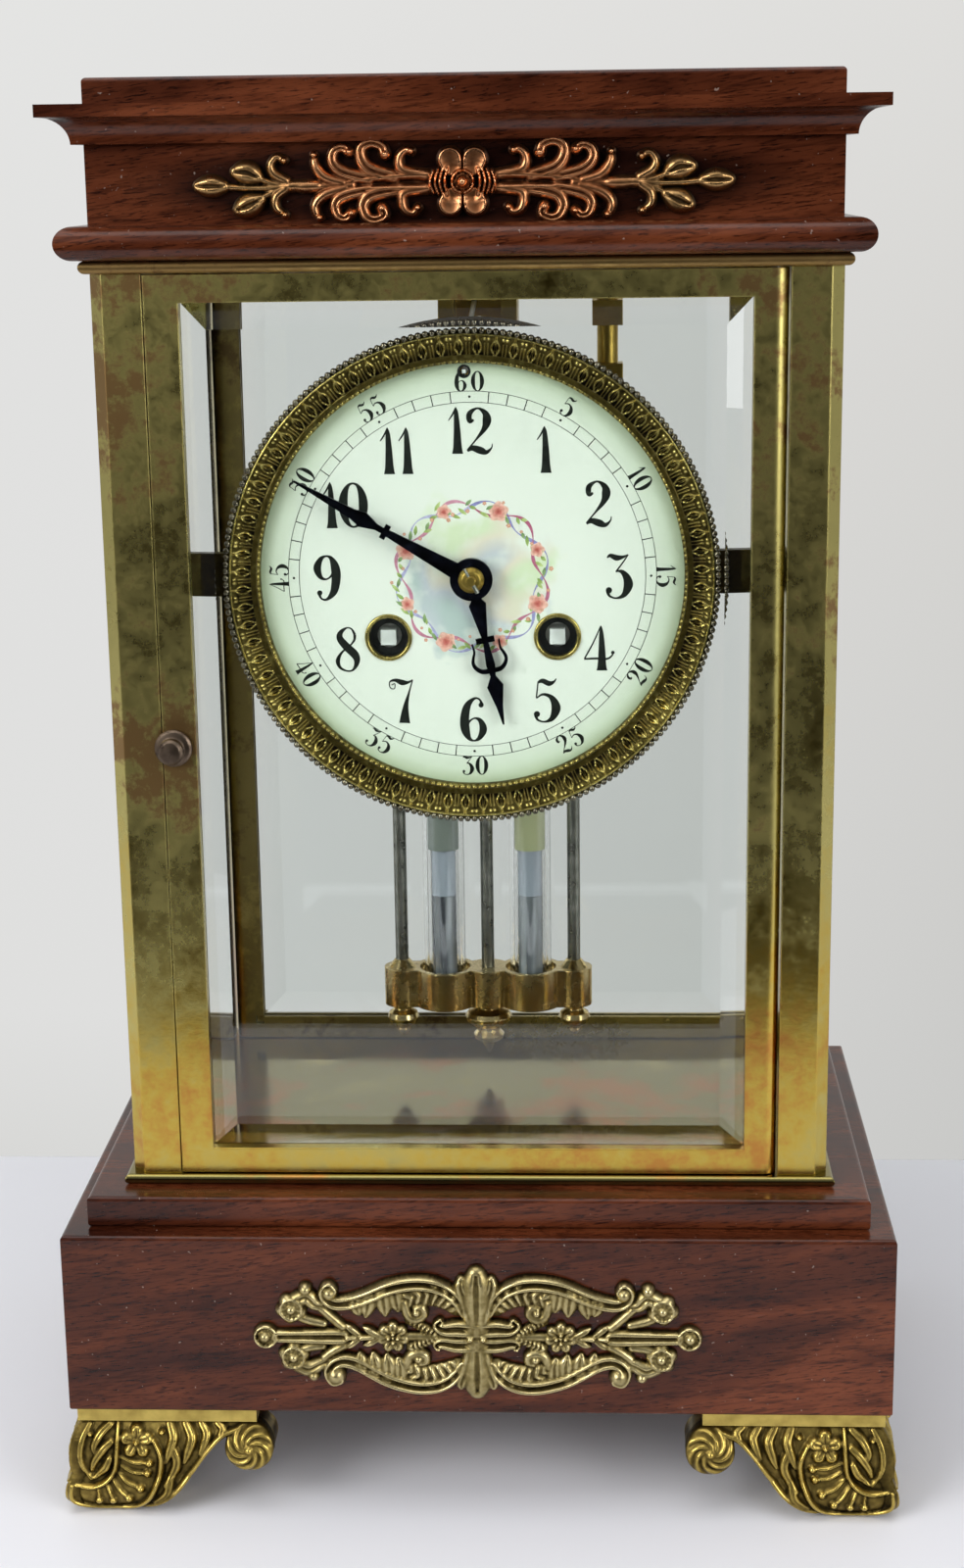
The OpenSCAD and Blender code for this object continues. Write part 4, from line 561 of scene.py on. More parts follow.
finishes = {
    "mahogany": polishedMahogany("polished mahogany", mahogany),
    # darker towards the top of the posts: painted shade for the dark room they reflect
    "caseBrass": agedBrass("tarnished lacquered brass", "#c0a44a", "#beb26c", "#93754a", 0.18,
                           ("Z", 0.1, 0.2), warm="#b98240"),
    "railBrass": agedBrass("tarnished brass moulding", "#b0935a", "#8a7045", "#5a412a", 0.3),
    # darker towards the left: painted shade for the dark front reflected in the left rear stile
    "innerBrass": agedBrass("clean lacquered brass", "#c2ad68", "#7d6b42", "#554229", 0.26,
                            ("X", 0.04, -0.02)),
    "floorBrass": agedBrass("dull brass floor", "#a8995f", "#857b4b", "#a0703c", 0.0, patch=0.035, more=0.06,
                            turn=0.66, grain=0.14),
    "darkBrass": agedBrass("bronzed brass", "#5a4a28", "#43371d", "#2a2212", 0.35),
    "knobBronze": agedBrass("handled bronze", "#7f6e5e", "#5f5246", "#3a3029", 0.3, patch=0.01),
    "gilt": castMount("cast gilt brass", ("#352b18", "#7d6f45", "#c4b584"), 0.25),
    "copperGilt": castMount("cast copper gilt", ("#341e13", "#8f5a38", "#d89a6c"), 0.24,
                            ("#32271a", "#7a5f3b", "#c29a66")),
    "footGilt": castMount("cast foot brass", ("#241d0d", "#6d5c2f", "#b8a054"), 0.25),
    # its near-black low tone carries the hollows and the painted shade at the foot of the leaf band
    "bezelBrass": castMount("engine-turned brass", ("#140f08", "#68582c", "#dcc878"), 0.2),
    "feet": footBrass("cast foot with its plate", "#c9b160", "#a08a48", "#54461f", footTop / 1000),
    "drumSteel": plainMetal("nickelled drum", "#6d6b64", "#8d8b83", 0.25),
    "beadSteel": plainMetal("polished nickel beads", "#6c6456", "#8e8572", 0.14),
    "movementBrass": agedBrass("movement brass", "#c8aa58", "#a88c45", "#75602c", 0.25),
    "bobBrass": agedBrass("lacquered bob brass", "#cdb784", "#b8a272", "#9d8759", 0.2, patch=0.02,
                          more=-0.08),
    "steel": plainMetal("drawn steel", "#77766e", "#96958d", 0.25),
    "brightSteel": plainMetal("polished steel", "#ecece8", "#f4f4f0", 0.5),
    "bluedSteel": plainMetal("blued steel", "#0b0b0f", "#191a26", 0.3),
    # pale lavender with streaks drawn out upwards and partly matt: painted reflections along the mercury
    # column
    "quicksilver": plainMetal("quicksilver", "#7f7688", "#fbf0ff", 0.22, size=0.003, along=0.04,
                              metal=0.65),
    # pale matt sheet in the empty tubes: painted light
    "tubePaintedLight": plainMatt("pale tube lining", "#d0c8de"),
    "greyPlug": plainMatt("grey plug", "#8d8f8a"),
    "creamPlug": plainMatt("cream plug", "#c8c49a"),
    # near-black for the cups behind the dial holes: painted shade
    "paintedShadeBlack": plainMatt("painted shade black", "#060606"),
    "glass": plateGlass("bevelled plate glass", "#84c0ac", 24.0),
    "jarGlass": plateGlass("thin jar glass", "#dcebe4", 0.0),
    "enamel": firedEnamel("fired enamel", dialZ / 1000),
    "paint": enamelPaint("painted enamel"),
    "ink": numeralBlack("black enamel paint"),
}

nodeFinish = {
    "mahogany": ["plinth", "base_step", "top_torus", "top_frieze", "top_cornice"],
    "caseBrass": ["corner_posts", "side_rails", "front_door_frame"],
    "innerBrass": ["rear_door_frame"],
    "railBrass": ["top_plate"],
    "floorBrass": ["base_plate"],
    "darkBrass": ["movement_straps"],
    "knobBronze": ["front_knob", "rear_knob"],
    "gilt": ["base_ornament"],
    "copperGilt": ["top_ornament"],
    "feet": ["feet"],
    "bezelBrass": ["bezel"],
    "drumSteel": ["dial_drum"],
    "movementBrass": ["front_plate", "back_plate", "pillars", "suspension_cock", "center_wheel",
                      "minute_wheel", "hour_wheel", "going_barrel", "going_second_wheel", "third_wheel",
                      "escape_wheel", "strike_barrel", "strike_second_wheel", "pin_wheel", "warning_wheel",
                      "fly", "hammer", "gong_stand", "hand_nut"],
    "bobBrass": ["bob_frame", "rating_nut"],
    "brightSteel": ["going_arbor", "strike_arbor", "regulator_arbor"],
    "steel": ["hinge_pins", "cannon_pinion", "going_mainspring", "going_click", "pallets",
              "strike_mainspring", "strike_click", "pendulum_rods"],
    "bluedSteel": ["minute_hand", "hour_hand", "gong"],
    "quicksilver": ["mercury"],
    "glass": ["side_glass", "front_glass", "rear_glass"],
    "jarGlass": ["vials"],
    "enamel": ["dial"],
}
for finish, names in nodeFinish.items():
    for name in names:
        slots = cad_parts[name].data.materials
        slots.clear()
        slots.append(finishes[finish])
print("finishes:", len(finishes))

# how far apart two faces of a casting may lean and still be shaded as one, in degrees
castSharp = 70.0


# strokes written in tenths of a millimetre, in millimetres
def inTenths(strokes):
    return [(s, [tuple(value / 10 for value in row) for row in rows]) for s, rows in strokes]


# cast mount on the case's front at faceY with its middle at a height: the strokes of its right half and their
# mirror images, on the grid that its settings give
def makeMount(name, look, strokes, faceY, middle, finish, node):
    us, vs = (np.arange(*look[way], look["step"]) for way in ("across", "up"))
    cover, height = reliefMap(mirrored(strokes), us, vs, look["base"])
    shape = reliefShape(cover, height, us, vs,
                        lambda u, v, h: np.stack([u, faceY - h, middle + v], -1), look["sunk"])
    makePiece(name, shape, finishes[finish], "case", [node], castSharp)


# cast mount on the plinth: strokes are (section, rows of across, up, half width, rise), right half only
baseMount = {"step": 0.24, "across": (-56.0, 56.1), "up": (-17.4, 19.0), "base": 0.7, "sunk": 0.2,
             "wider": 1.65, "taller": 1.15, "drop": 0.6, "rosette": (20.6, 0.0), "seeds": (1.15, 0.8, 2.3)}
endFlower = {"petals": 5, "at": 2.1, "r": 1.2, "rise": 1.6, "heart": 1.05}
upperScrolls = inTenths([
    ("lobed", [(46, 80, 15, 12), (70, 102, 19, 15), (98, 114, 21, 16), (128, 114, 20, 15),
        (156, 107, 17, 13), (178, 93, 12, 11)]),
    ("double", [(30, 64, 8, 13), (46, 97, 10, 16), (70, 124, 12, 19), (104, 140, 13, 20),
        (142, 145, 13, 20), (180, 141, 13, 19), (218, 131, 13, 18), (256, 113, 13, 17), (287, 100, 13, 16),
        (317, 91, 13, 15), (344, 89, 12, 15), (364, 99, 11, 16), (373, 118, 10, 17), (362, 133, 10, 17),
        (352, 124, 9, 17)]),
    ("round", [(360, 117, 13, 23)]),
    ("leaf", [(296, 96, 12, 13), (294, 76, 11, 13), (288, 60, 4, 7)]),
    ("leaf", [(262, 102, 13, 14), (267, 78, 12, 14), (272, 54, 4, 7)]),
    ("leaf", [(230, 112, 14, 15), (226, 84, 13, 14), (224, 58, 4, 7)]),
    ("leaf", [(200, 116, 13, 14), (196, 92, 12, 14), (192, 72, 5, 8)]),
    ("round", [(178, 90, 8, 12), (166, 56, 9, 14), (146, 49, 9, 15), (129, 62, 8, 15), (134, 80, 7, 14),
        (148, 76, 7, 14)]),
    ("round", [(147, 67, 8, 19)]),
    ("rope", [(104, 9, 7, 13), (135, 27, 8, 14), (164, 43, 8, 13)]),
    ("double", [(8, 20, 14, 15), (47, 24, 15, 17), (80, 23, 12, 16), (97, 32, 8, 14), (90, 42, 7, 13)]),
    ("leaf", [(0, 20, 20, 15), (0, 80, 22, 21), (0, 130, 24, 23), (0, 164, 15, 16)]),
    ("leaf", [(15, 60, 12, 14), (29, 104, 13, 18), (38, 134, 11, 18), (37, 153, 7, 12)]),
    ("leaf", [(11, 32, 11, 14), (19, 64, 12, 20), (24, 88, 8, 14)]),
    ("round", [(330, 26, 8, 12), (355, 50, 8, 13), (380, 74, 8, 13)]),
    ("round", [(376, 34, 7, 11), (410, 42, 8, 12), (436, 52, 8, 12)]),
    ("leaf", [(442, 96, 13, 15), (416, 106, 14, 17), (396, 86, 11, 15), (372, 82, 7, 11)]),
    ("round", [(419, 126, 11, 20)]),
    ("hollow", [(455, 74, 33, 17)]),
]) + flower(45.5, 7.4, turn=60, **endFlower)
lowerScrolls = inTenths([
    ("lobed", [(46, -82, 15, 12), (73, -96, 18, 15), (98, -104, 19, 16), (128, -106, 19, 15),
        (155, -97, 16, 13), (176, -82, 11, 11)]),
    ("double", [(36, -74, 8, 13), (50, -96, 10, 16), (72, -116, 12, 19), (104, -129, 13, 20),
        (142, -132, 13, 20), (180, -126, 13, 19), (218, -114, 13, 18), (256, -94, 13, 17),
        (287, -76, 13, 16), (313, -66, 13, 15), (336, -65, 12, 15), (356, -75, 11, 16), (366, -94, 10, 17),
        (356, -116, 10, 17), (340, -114, 9, 17)]),
    ("round", [(349, -104, 16, 23)]),
    ("leaf", [(282, -76, 12, 13), (286, -62, 10, 13), (289, -46, 4, 7)]),
    ("leaf", [(250, -90, 13, 14), (252, -68, 12, 14), (256, -46, 4, 7)]),
    ("leaf", [(218, -100, 14, 15), (218, -74, 13, 14), (222, -50, 4, 7)]),
    ("leaf", [(190, -102, 13, 14), (190, -78, 11, 14), (194, -60, 5, 8)]),
    ("round", [(176, -78, 8, 12), (165, -52, 9, 14), (146, -43, 9, 15), (127, -48, 8, 15),
        (125, -64, 7, 14), (138, -69, 7, 14)]),
    ("round", [(144, -57, 9, 19)]),
    ("rope", [(101, -2, 7, 13), (131, -16, 8, 14), (162, -29, 8, 13)]),
    ("double", [(8, -20, 14, 15), (50, -19, 14, 17), (84, -14, 11, 15), (99, -19, 7, 13),
        (96, -28, 6, 12)]),
    ("leaf", [(0, -20, 19, 15), (0, -70, 21, 21), (0, -115, 23, 22), (0, -142, 15, 15)]),
    ("leaf", [(15, -60, 12, 14), (29, -94, 13, 17), (39, -120, 10, 16), (40, -132, 6, 11)]),
    ("leaf", [(11, -30, 11, 14), (19, -58, 12, 19), (24, -78, 8, 13)]),
    ("round", [(328, -24, 8, 12), (355, -39, 8, 13), (376, -56, 8, 13)]),
    ("round", [(380, -26, 7, 11), (410, -29, 8, 12), (434, -36, 8, 12)]),
    ("leaf", [(440, -78, 13, 15), (414, -86, 14, 17), (389, -74, 11, 15), (366, -64, 7, 11)]),
    ("round", [(404, -104, 10, 20)]),
    ("hollow", [(452, -54, 33, 17)]),
]) + flower(45.2, -5.4, turn=20, **endFlower)
spine = inTenths([
    ("round", [(0, 0, 13, 10), (260, 0, 12, 10)]),
    ("double", [(326, 0, 15, 13), (338, 0, 23, 16), (410, 0, 21, 16), (492, 0, 18, 15)]),
    ("hollow", [(520, 0, 33, 16)]),
    ("round", [(522, 0, 18, 24)]),
    ("round", [(16, 0, 13, 26)]),
    ("leaf", [(240, 3, 8, 14), (263, 17, 10, 17), (278, 25, 4, 9)]),
    ("leaf", [(240, -3, 8, 14), (263, -16, 10, 17), (278, -23, 4, 9)]),
    ("round", [(256, 0, 7, 16), (284, 0, 10, 21)]),
    ("leaf", [(288, 4, 8, 14), (309, 22, 10, 17), (322, 32, 4, 9)]),
    ("leaf", [(288, -4, 8, 14), (309, -20, 10, 17), (322, -29, 4, 9)]),
    ("round", [(300, 0, 7, 17), (318, 0, 10, 22)]),
]) + flower(*baseMount["rosette"], petals=7, at=2.8, r=1.45, rise=1.6, heart=0.4)
off, *seed = baseMount["seeds"]
for c, s in ((1, 0), (0, 1), (-1, 0), (0, -1)):
    spine.append(("round", [(baseMount["rosette"][0] + off * c, off * s, *seed)]))
plinthLow, plinthHigh = boxOf("plinth")
mountZ = sum(boxOf("base_ornament"))[2] / 2
scrolls = fuller(upperScrolls + lowerScrolls, baseMount["wider"], baseMount["taller"])
makeMount("plinthMount", baseMount, scrolls + spine, plinthLow[1], mountZ - baseMount["drop"],
          "gilt", "base_ornament")

# cast mount on the frieze: a rosette between two sprays of tendrils that end in buds
topMount = {"step": 0.2, "across": (-61.4, 61.5), "up": (-9.6, 10.4), "base": 0.6, "sunk": 0.2, "wider": 1.7,
            "taller": 1.2, "under": 0.92, "knob": (1.15, 2.6), "firstCurl": 8, "bars": 4, "lift": 0.2}
spray = inTenths([
    ("double", [(65, 2, 17, 14), (120, 3, 16, 15), (200, 0, 12, 14), (270, -3, 7, 11)]),
    ("round", [(250, -3, 8, 12), (310, -4, 6, 11), (330, -4, 9, 15), (356, -4, 10, 16), (374, -3, 9, 15),
        (390, -3, 9, 16), (410, -3, 6, 12)]),
    ("round", [(400, -4, 8, 12), (440, -7, 5, 11), (500, -6, 5, 11), (546, -2, 6, 12)]),
    ("leaf", [(540, -2, 9, 15), (568, -1, 16, 21), (594, -1, 10, 15), (604, -1, 4, 9)]),
    ("round", [(410, -2, 6, 11), (436, 5, 5, 11), (464, 16, 5, 12)]),
    ("leaf", [(462, 17, 9, 15), (486, 28, 17, 21), (512, 29, 9, 13)]),
    ("round", [(410, -6, 6, 11), (434, -18, 5, 11), (460, -32, 5, 12)]),
    ("leaf", [(458, -32, 9, 15), (486, -46, 17, 21), (508, -54, 9, 13)]),
    ("round", [(76, 16, 9, 13), (128, 26, 9, 16), (142, 41, 8.5, 16), (140, 60, 7.5, 16),
        (127, 72, 6.5, 16), (115, 70, 7.5, 19)]),
    ("leaf", [(154, 14, 10, 14), (206, 30, 11, 17), (227, 53, 10, 17), (226, 78, 9, 17), (205, 89, 8, 16),
        (181, 81, 8, 17), (174, 64, 9, 20)]),
    ("leaf", [(210, 10, 9, 14), (269, 26, 10, 17), (292, 48, 9, 17), (288, 71, 8, 16), (270, 79, 7, 16),
        (254, 70, 8.5, 19)]),
    ("round", [(270, 2, 8, 13), (310, 15, 9, 16), (331, 40, 8, 16), (334, 64, 5, 11)]),
    ("round", [(398, 8, 8, 14), (425, 24, 8, 16), (432, 44, 7, 16), (418, 61, 6, 15), (401, 53, 7, 17)]),
])
under = inTenths([
    ("round", [(76, -12, 9, 13), (129, -21, 9, 16), (137, -41, 8.5, 16), (130, -64, 7.5, 16),
        (113, -72, 6.5, 16), (102, -59, 7.5, 18)]),
    ("leaf", [(140, -14, 10, 14), (206, -28, 11, 17), (225, -54, 10, 17), (218, -79, 9, 17),
        (199, -87, 8, 17), (178, -77, 8, 18), (183, -59, 9, 20)]),
    ("leaf", [(210, -14, 9, 14), (269, -29, 10, 17), (288, -49, 9, 17), (284, -74, 8, 16),
        (268, -82, 7, 16), (252, -70, 8.5, 19)]),
    ("round", [(264, -9, 8, 13), (310, -24, 9, 16), (333, -47, 8, 16), (332, -70, 7, 15),
        (324, -80, 5, 10)]),
    ("round", [(400, -10, 8, 14), (422, -29, 8, 16), (422, -56, 7, 15), (402, -72, 5, 11)]),
])
under = [(s, [(u, v * topMount["under"], w, h) for u, v, w, h in rows]) for s, rows in under]
knobs = [("round", [(*rows[-1][:2], *topMount["knob"])]) for s, rows in spray[topMount["firstCurl"]:] + under]
lift = topMount["lift"]
rosette = [("petal", [(2.35, 3.5 * k + lift, 2.7, 2.2), (2.8, 4.8 * k + lift, 3.2, 2.7)]) for k in (1, -1)]
rosette += [("round", [(3.4 + 1.05 * i, -2.7 + 0.15 * i, 0.5, 2.4), (4.0 + 1.1 * i, lift, 0.58, 3.1),
                       (3.4 + 1.05 * i, 3.1 - 0.15 * i, 0.5, 2.4)]) for i in range(topMount["bars"])]
rosette += [("hollow", [(0.0, lift, 3.0, 2.8)]), ("round", [(0.0, lift, 1.8, 3.7)])]
sprays = fuller(spray + under, topMount["wider"], topMount["taller"])
makeMount("friezeMount", topMount, sprays + knobs + rosette, friezeLow[1], friezeZ,
          "copperGilt", "top_ornament")

# carving on the feet: a wing is measured inwards from the plinth's corner and up from the floor
footSet = {"step": 0.27, "ground": 0.3, "sunk": 2.4, "over": 1.0, "end": 44.5, "across": (-3.4, 52.1),
           "up": (-0.6, footTop + 0.8), "pearl": (1.15, 1.6),
           "snail": {"at": (44.6, 18.2), "radius": 6.1, "bare": 0.9, "swell": 1.7, "ribs": 8, "twist": 0.33,
                     "ribHigh": 0.55, "ribFade": (2.4, 0.4), "eye": (1.5, 2.9)}}
outerEdge = np.vstack([bezier([(3.5, footTop), (0.2, footTop - 3.5), (-0.6, footTop - 10), (0.5, 10.8)], 12),
                       bezier([(0.5, 10.8), (-1.7, 6.5), (-1.6, 1.0), (5.0, 0.0)], 12)])[::-1]
sweep = np.vstack([bezier([(12.0, 0.0), (22.0, 0.6), (27.0, 6.5), (30.5, 11.5)], 12),
                   bezier([(30.5, 11.5), (33.5, 16.0), (36.0, footTop - 3.2), (44.0, footTop - 2.4)], 12)])
carving = inTenths([
    ("round", [(-4, 80, 6, 10), (-4, 42, 8, 14), (24, 20, 8.5, 16), (82, 9, 8.5, 17), (144, 14, 8.5, 17),
        (188, 44, 8.5, 18), (214, 93, 8.5, 18), (224, 137, 8.5, 18), (222, 166, 8, 17), (206, 200, 6, 14)]),
    ("round", [(116, 242, 6, 13), (114, 184, 7, 16), (108, 128, 7.5, 17), (87, 94, 7.5, 17),
        (50, 78, 7, 17), (6, 82, 6, 13)]),
    ("round", [(122, 156, 4, 7), (156, 142, 5.5, 12), (184, 142, 5, 11)]),
    ("round", [(122, 132, 4, 7), (150, 114, 5.5, 12), (178, 110, 5, 11)]),
    ("round", [(114, 110, 4, 7), (136, 90, 5.5, 12), (162, 78, 5, 11)]),
    ("round", [(102, 92, 4, 7), (118, 69, 5.5, 12), (134, 52, 5, 11)]),
    ("round", [(84, 82, 4, 7), (93, 62, 5.5, 12), (99, 46, 5, 11)]),
    ("round", [(62, 74, 4, 7), (64, 58, 5, 11), (64, 46, 5, 10)]),
    ("leaf", [(44, 236, 8, 10), (26, 200, 9, 13), (20, 156, 9, 14), (30, 118, 7, 12), (46, 96, 4, 8)]),
    ("leaf", [(96, 236, 11, 11), (72, 214, 12, 15), (56, 184, 10, 13), (58, 164, 5, 9)]),
    ("leaf", [(98, 194, 10, 12), (78, 176, 12, 16), (56, 144, 10, 14), (48, 118, 5, 9)]),
    ("leaf", [(94, 150, 10, 12), (82, 126, 12, 16), (64, 108, 8, 12), (52, 98, 4, 8)]),
    ("round", [(46, 212, 7, 15)]),
    ("leaf", [(246, 238, 12, 10), (256, 206, 14, 15), (244, 168, 11, 14), (236, 142, 5, 9)]),
    ("leaf", [(254, 182, 11, 12), (264, 146, 13, 15), (252, 110, 12, 14), (232, 80, 6, 10)]),
    ("leaf", [(286, 240, 12, 10), (302, 208, 14, 15), (292, 170, 12, 14), (282, 142, 5, 9)]),
    ("leaf", [(246, 96, 10, 12), (236, 60, 12, 14), (204, 32, 6, 9)]),
    ("leaf", [(326, 240, 12, 10), (340, 216, 13, 15), (330, 184, 10, 13), (322, 166, 5, 9)]),
    ("leaf", [(366, 240, 10, 10), (380, 228, 11, 14), (370, 208, 6, 10)]),
    ("round", [(136, 9, 6, 8), (200, 20, 9, 11), (252, 56, 10, 13), (296, 110, 10, 14), (336, 166, 9, 14),
        (376, 210, 8, 13), (430, 230, 7, 12)]),
    ("round", [(226, 218, 9, 14)]),
]) + flower(16.3, 19.6, petals=5, at=2.7, r=1.75, rise=1.7, heart=0.95)
pearls = [(19.4, 14.0), (18.7, 11.0), (17.0, 7.4), (14.0, 4.6), (9.9, 3.9), (6.4, 3.9)]
carving += [("round", [(u, v, *footSet["pearl"])]) for u, v in pearls]
us, vs = (np.arange(*footSet[way], footSet["step"]) for way in ("across", "up"))
gridU, gridV = np.meshgrid(us, vs, indexing="ij")
height = reliefMap(carving, us, vs, footSet["ground"])[1]
face = np.interp(vs, outerEdge[:, 1], outerEdge[:, 0])
floor = np.interp(us, sweep[:, 0], sweep[:, 1], left=0.0)
cover = np.minimum(np.minimum(gridV - floor[:, None], footTop - gridV),
                   np.minimum(gridU - face[None] + footSet["over"], footSet["end"] - gridU))
# scroll at the end of a wing: a swelling with twisted ribs, that start some way out, and an eye in the middle
snailSet = footSet["snail"]
du, dv = gridU - snailSet["at"][0], gridV - snailSet["at"][1]
far = np.hypot(du, dv)


# height over a ball's middle, 0 to 1, at the distance far
def ballOf(radius):
    return np.sqrt(np.clip(1 - (far / radius) ** 2, 0, 1))


swell = ballOf(snailSet["radius"])
ribs = np.cos(snailSet["ribs"] * (np.arctan2(dv, du) + snailSet["twist"] * far)) * swell
ribs = ribs * np.clip(far / snailSet["ribFade"][0] - snailSet["ribFade"][1], 0, 1)
snail = footSet["ground"] + snailSet["swell"] * swell + snailSet["ribHigh"] * ribs
snail = np.maximum(snail, snailSet["eye"][1] * ballOf(snailSet["eye"][0]))
over = np.where(far < snailSet["bare"] * snailSet["radius"], snail, np.maximum(snail, height))
height = np.where(far < snailSet["radius"], over, height)
cover = np.maximum(cover, snailSet["radius"] - far)
wing = reliefShape(cover, height, us, vs, lambda u, v, h: np.stack([u, h, v], -1), footSet["sunk"])


# points of a wing at a corner of the plinth, sides being -1 or 1 across and back: it runs along the front (0)
# or the side (1), and is set back by the curve of the outer edge
def atCorner(p, sides, along):
    back = np.interp(p[:, 2], outerEdge[:, 1], outerEdge[:, 0]) - p[:, 1]
    inwards = [p[:, 0], back] if along == 0 else [back, p[:, 0]]
    return np.column_stack([sides * (plinthHigh[:2] - np.stack(inwards, -1)), p[:, 2]])


for sideX, across in ((-1, "Left"), (1, "Right")):
    for sideY, deep in ((-1, "Front"), (1, "Rear")):
        sides = np.array([sideX, sideY])
        wings = [moved(wing, lambda p: atCorner(p, sides, along)) for along in (0, 1)]
        makePiece("footCarving" + deep + across, join(wings), finishes["footGilt"], "case",
                  sharp=castSharp)

dome = {"drop": 0.5, "radius": 50.8}


# places a flat shape on the domed dial, x across, y up and z out from the glaze
def onDial(p):
    out = dome["drop"] * (np.hypot(p[:, 0], p[:, 1]) / dome["radius"]) ** 2
    return np.stack([p[:, 0], dialLow[1] + out - p[:, 2], dialZ + p[:, 1]], -1)


# bezel: a turned moulding with a band of pointed leaves between two rows of beads, as (radius, -depth)
bezelSet = {"leaves": 80, "perLeaf": 24, "rows": 22, "leafIn": 53.0, "leafOut": 57.4,
            "slope": (-2.75, 1.65, 0.85), "raised": 0.38, "sunk": 0.3, "lip": (57.45, 57.9), "beads": 222,
            "innerRow": (51.5, 4.1, 0.68), "outerRow": (58.62, 1.2, 0.8),
            "worn": {"band": (0.14, 0.22, 0.66, 0.24), "plain": 0.42, "lip": 0.66, "beads": 0.6,
                     "eyelets": 0.62},
            "leaf": {"half": 0.21, "root": 0.03, "long": 0.85, "blunt": 0.9, "rim": 0.04, "line": 0.03,
                     "edge": 0.06, "veinAt": 0.09, "veinEnd": 0.75, "veinHigh": 0.8, "stemAt": 0.41,
                     "stemEnd": 0.66, "stemHigh": 0.7, "berryAt": (0.4, 0.85), "berrySize": (0.05, 0.07)}}
insideSteps = [(51.6, -6.9), (50.85, -6.9), (50.85, -4.7), (51.0, -4.4), (52.1, -4.1), (52.3, -3.3),
               (52.6, -2.9), (52.85, -3.0)]
outsideSteps = [(57.5, -0.85), (57.65, -0.65), (57.85, -0.7), (57.95, -1.1), (58.2, -1.7), (58.85, -1.9),
                (58.95, -2.4), (58.8, -2.95), (51.6, -2.95)]
frontY = boxOf("bezel")[0][1]
leafT = np.linspace(0, 1, bezelSet["rows"])
leafLong = bezelSet["leafOut"] - bezelSet["leafIn"]
start, rise, power = bezelSet["slope"]
slope = np.stack([bezelSet["leafIn"] + leafT * leafLong, start + rise * leafT ** power], -1)
profile = np.vstack([insideSteps, slope, outsideSteps])
radius, depth = profile[:, :1], profile[:, 1:]
a = np.linspace(0, 2 * np.pi, bezelSet["leaves"] * bezelSet["perLeaf"], endpoint=False)
off = np.abs((a * bezelSet["leaves"] / (2 * np.pi)) % 1 - 0.5)[None]
row = np.arange(len(profile))[:, None] - len(insideSteps)
band = (row >= 0) & (row < len(slope))
t = np.clip((radius - bezelSet["leafIn"]) / leafLong, 0, 1)


# ridge of height 1 at 0, so wide
def ridge(x, wide):
    return np.exp(-(x / wide) ** 2)


# a leaf's outline, its split vein, the stem between two leaves and the berry on it: off is measured in leaves
# from a leaf's middle, t along it
leafSet = bezelSet["leaf"]
along = np.clip((t + leafSet["root"]) / leafSet["long"], 0, 1)
edge = leafSet["half"] * np.sin(np.pi * along) ** leafSet["blunt"]
vein = leafSet["veinHigh"] * ridge(off - leafSet["veinAt"] * (1 - t / leafSet["veinEnd"]), leafSet["line"])
stem = leafSet["stemHigh"] * ridge(off - leafSet["stemAt"], leafSet["line"])
berry = [ridge(x - at, size) for x, at, size in zip((off, t), leafSet["berryAt"], leafSet["berrySize"])]
ribs = np.maximum.reduce([ridge(off - edge, leafSet["rim"]), vein * (t < leafSet["veinEnd"]),
                          stem * (t < leafSet["stemEnd"]), berry[0] * berry[1]])
hollow = np.clip((edge - leafSet["rim"] - off) / leafSet["edge"], 0, 1) * (1 - t / 2)
raised = np.where(band, bezelSet["raised"] * ribs - bezelSet["sunk"] * hollow, 0)
# the band's tone starts low at its foot and rises outwards, painted shade for the dark room reflected low in
# the band; it is worn more on ribs, and less in hollows
bezelWorn = bezelSet["worn"]
foot, outwards, onRib, inHollow = bezelWorn["band"]
worn = np.where(band, foot + outwards * t + onRib * ribs - inHollow * hollow, bezelWorn["plain"] + 0 * off)
worn = np.where((radius > bezelSet["lip"][0]) & (radius < bezelSet["lip"][1]), bezelWorn["lip"], worn)
points = np.stack([radius * np.sin(a), frontY - depth - raised, dialZ + radius * np.cos(a)], -1)
ring = sheet(points, loopRows=True, loopColumns=True, tags={"worn": worn})


# one row of beads round the dial at a radius and a depth
def beadRow(r, depth, size):
    b = np.linspace(0, 2 * np.pi, bezelSet["beads"], endpoint=False)
    centres = np.stack([r * np.sin(b), frontY + depth + 0 * b, dialZ + r * np.cos(b)], -1)
    return scatter(bead(10, 6), centres, size)


# the same shape worn evenly
def wornAs(shape, level):
    return shape[0], shape[1], {"worn": np.full(len(shape[0]), level)}


windingHole = {"at": [(-20.4, -14.6), (20.4, -14.6)], "inner": 4.7, "outer": 5.75}
lip = [(windingHole["inner"], -1.3), (5.0, -1.3), (5.05, -0.1), (windingHole["outer"], -0.1), (5.7, 0.35),
       (5.4, 0.6), (5.0, 0.55), (windingHole["inner"], 0.2)]
eyelets = [moved(turned(lathe(lip, 64, loop=True), 0, (x, y, 0)), onDial) for x, y in windingHole["at"]]
ring = join([ring, wornAs(beadRow(*bezelSet["innerRow"]), bezelWorn["beads"])]
            + [wornAs(eyelet, bezelWorn["eyelets"]) for eyelet in eyelets])
makePiece("bezelRing", ring, finishes["bezelBrass"], "case", ["bezel"], sharp=50)
makePiece("bezelBeads", beadRow(*bezelSet["outerRow"]), finishes["beadSteel"], "case")

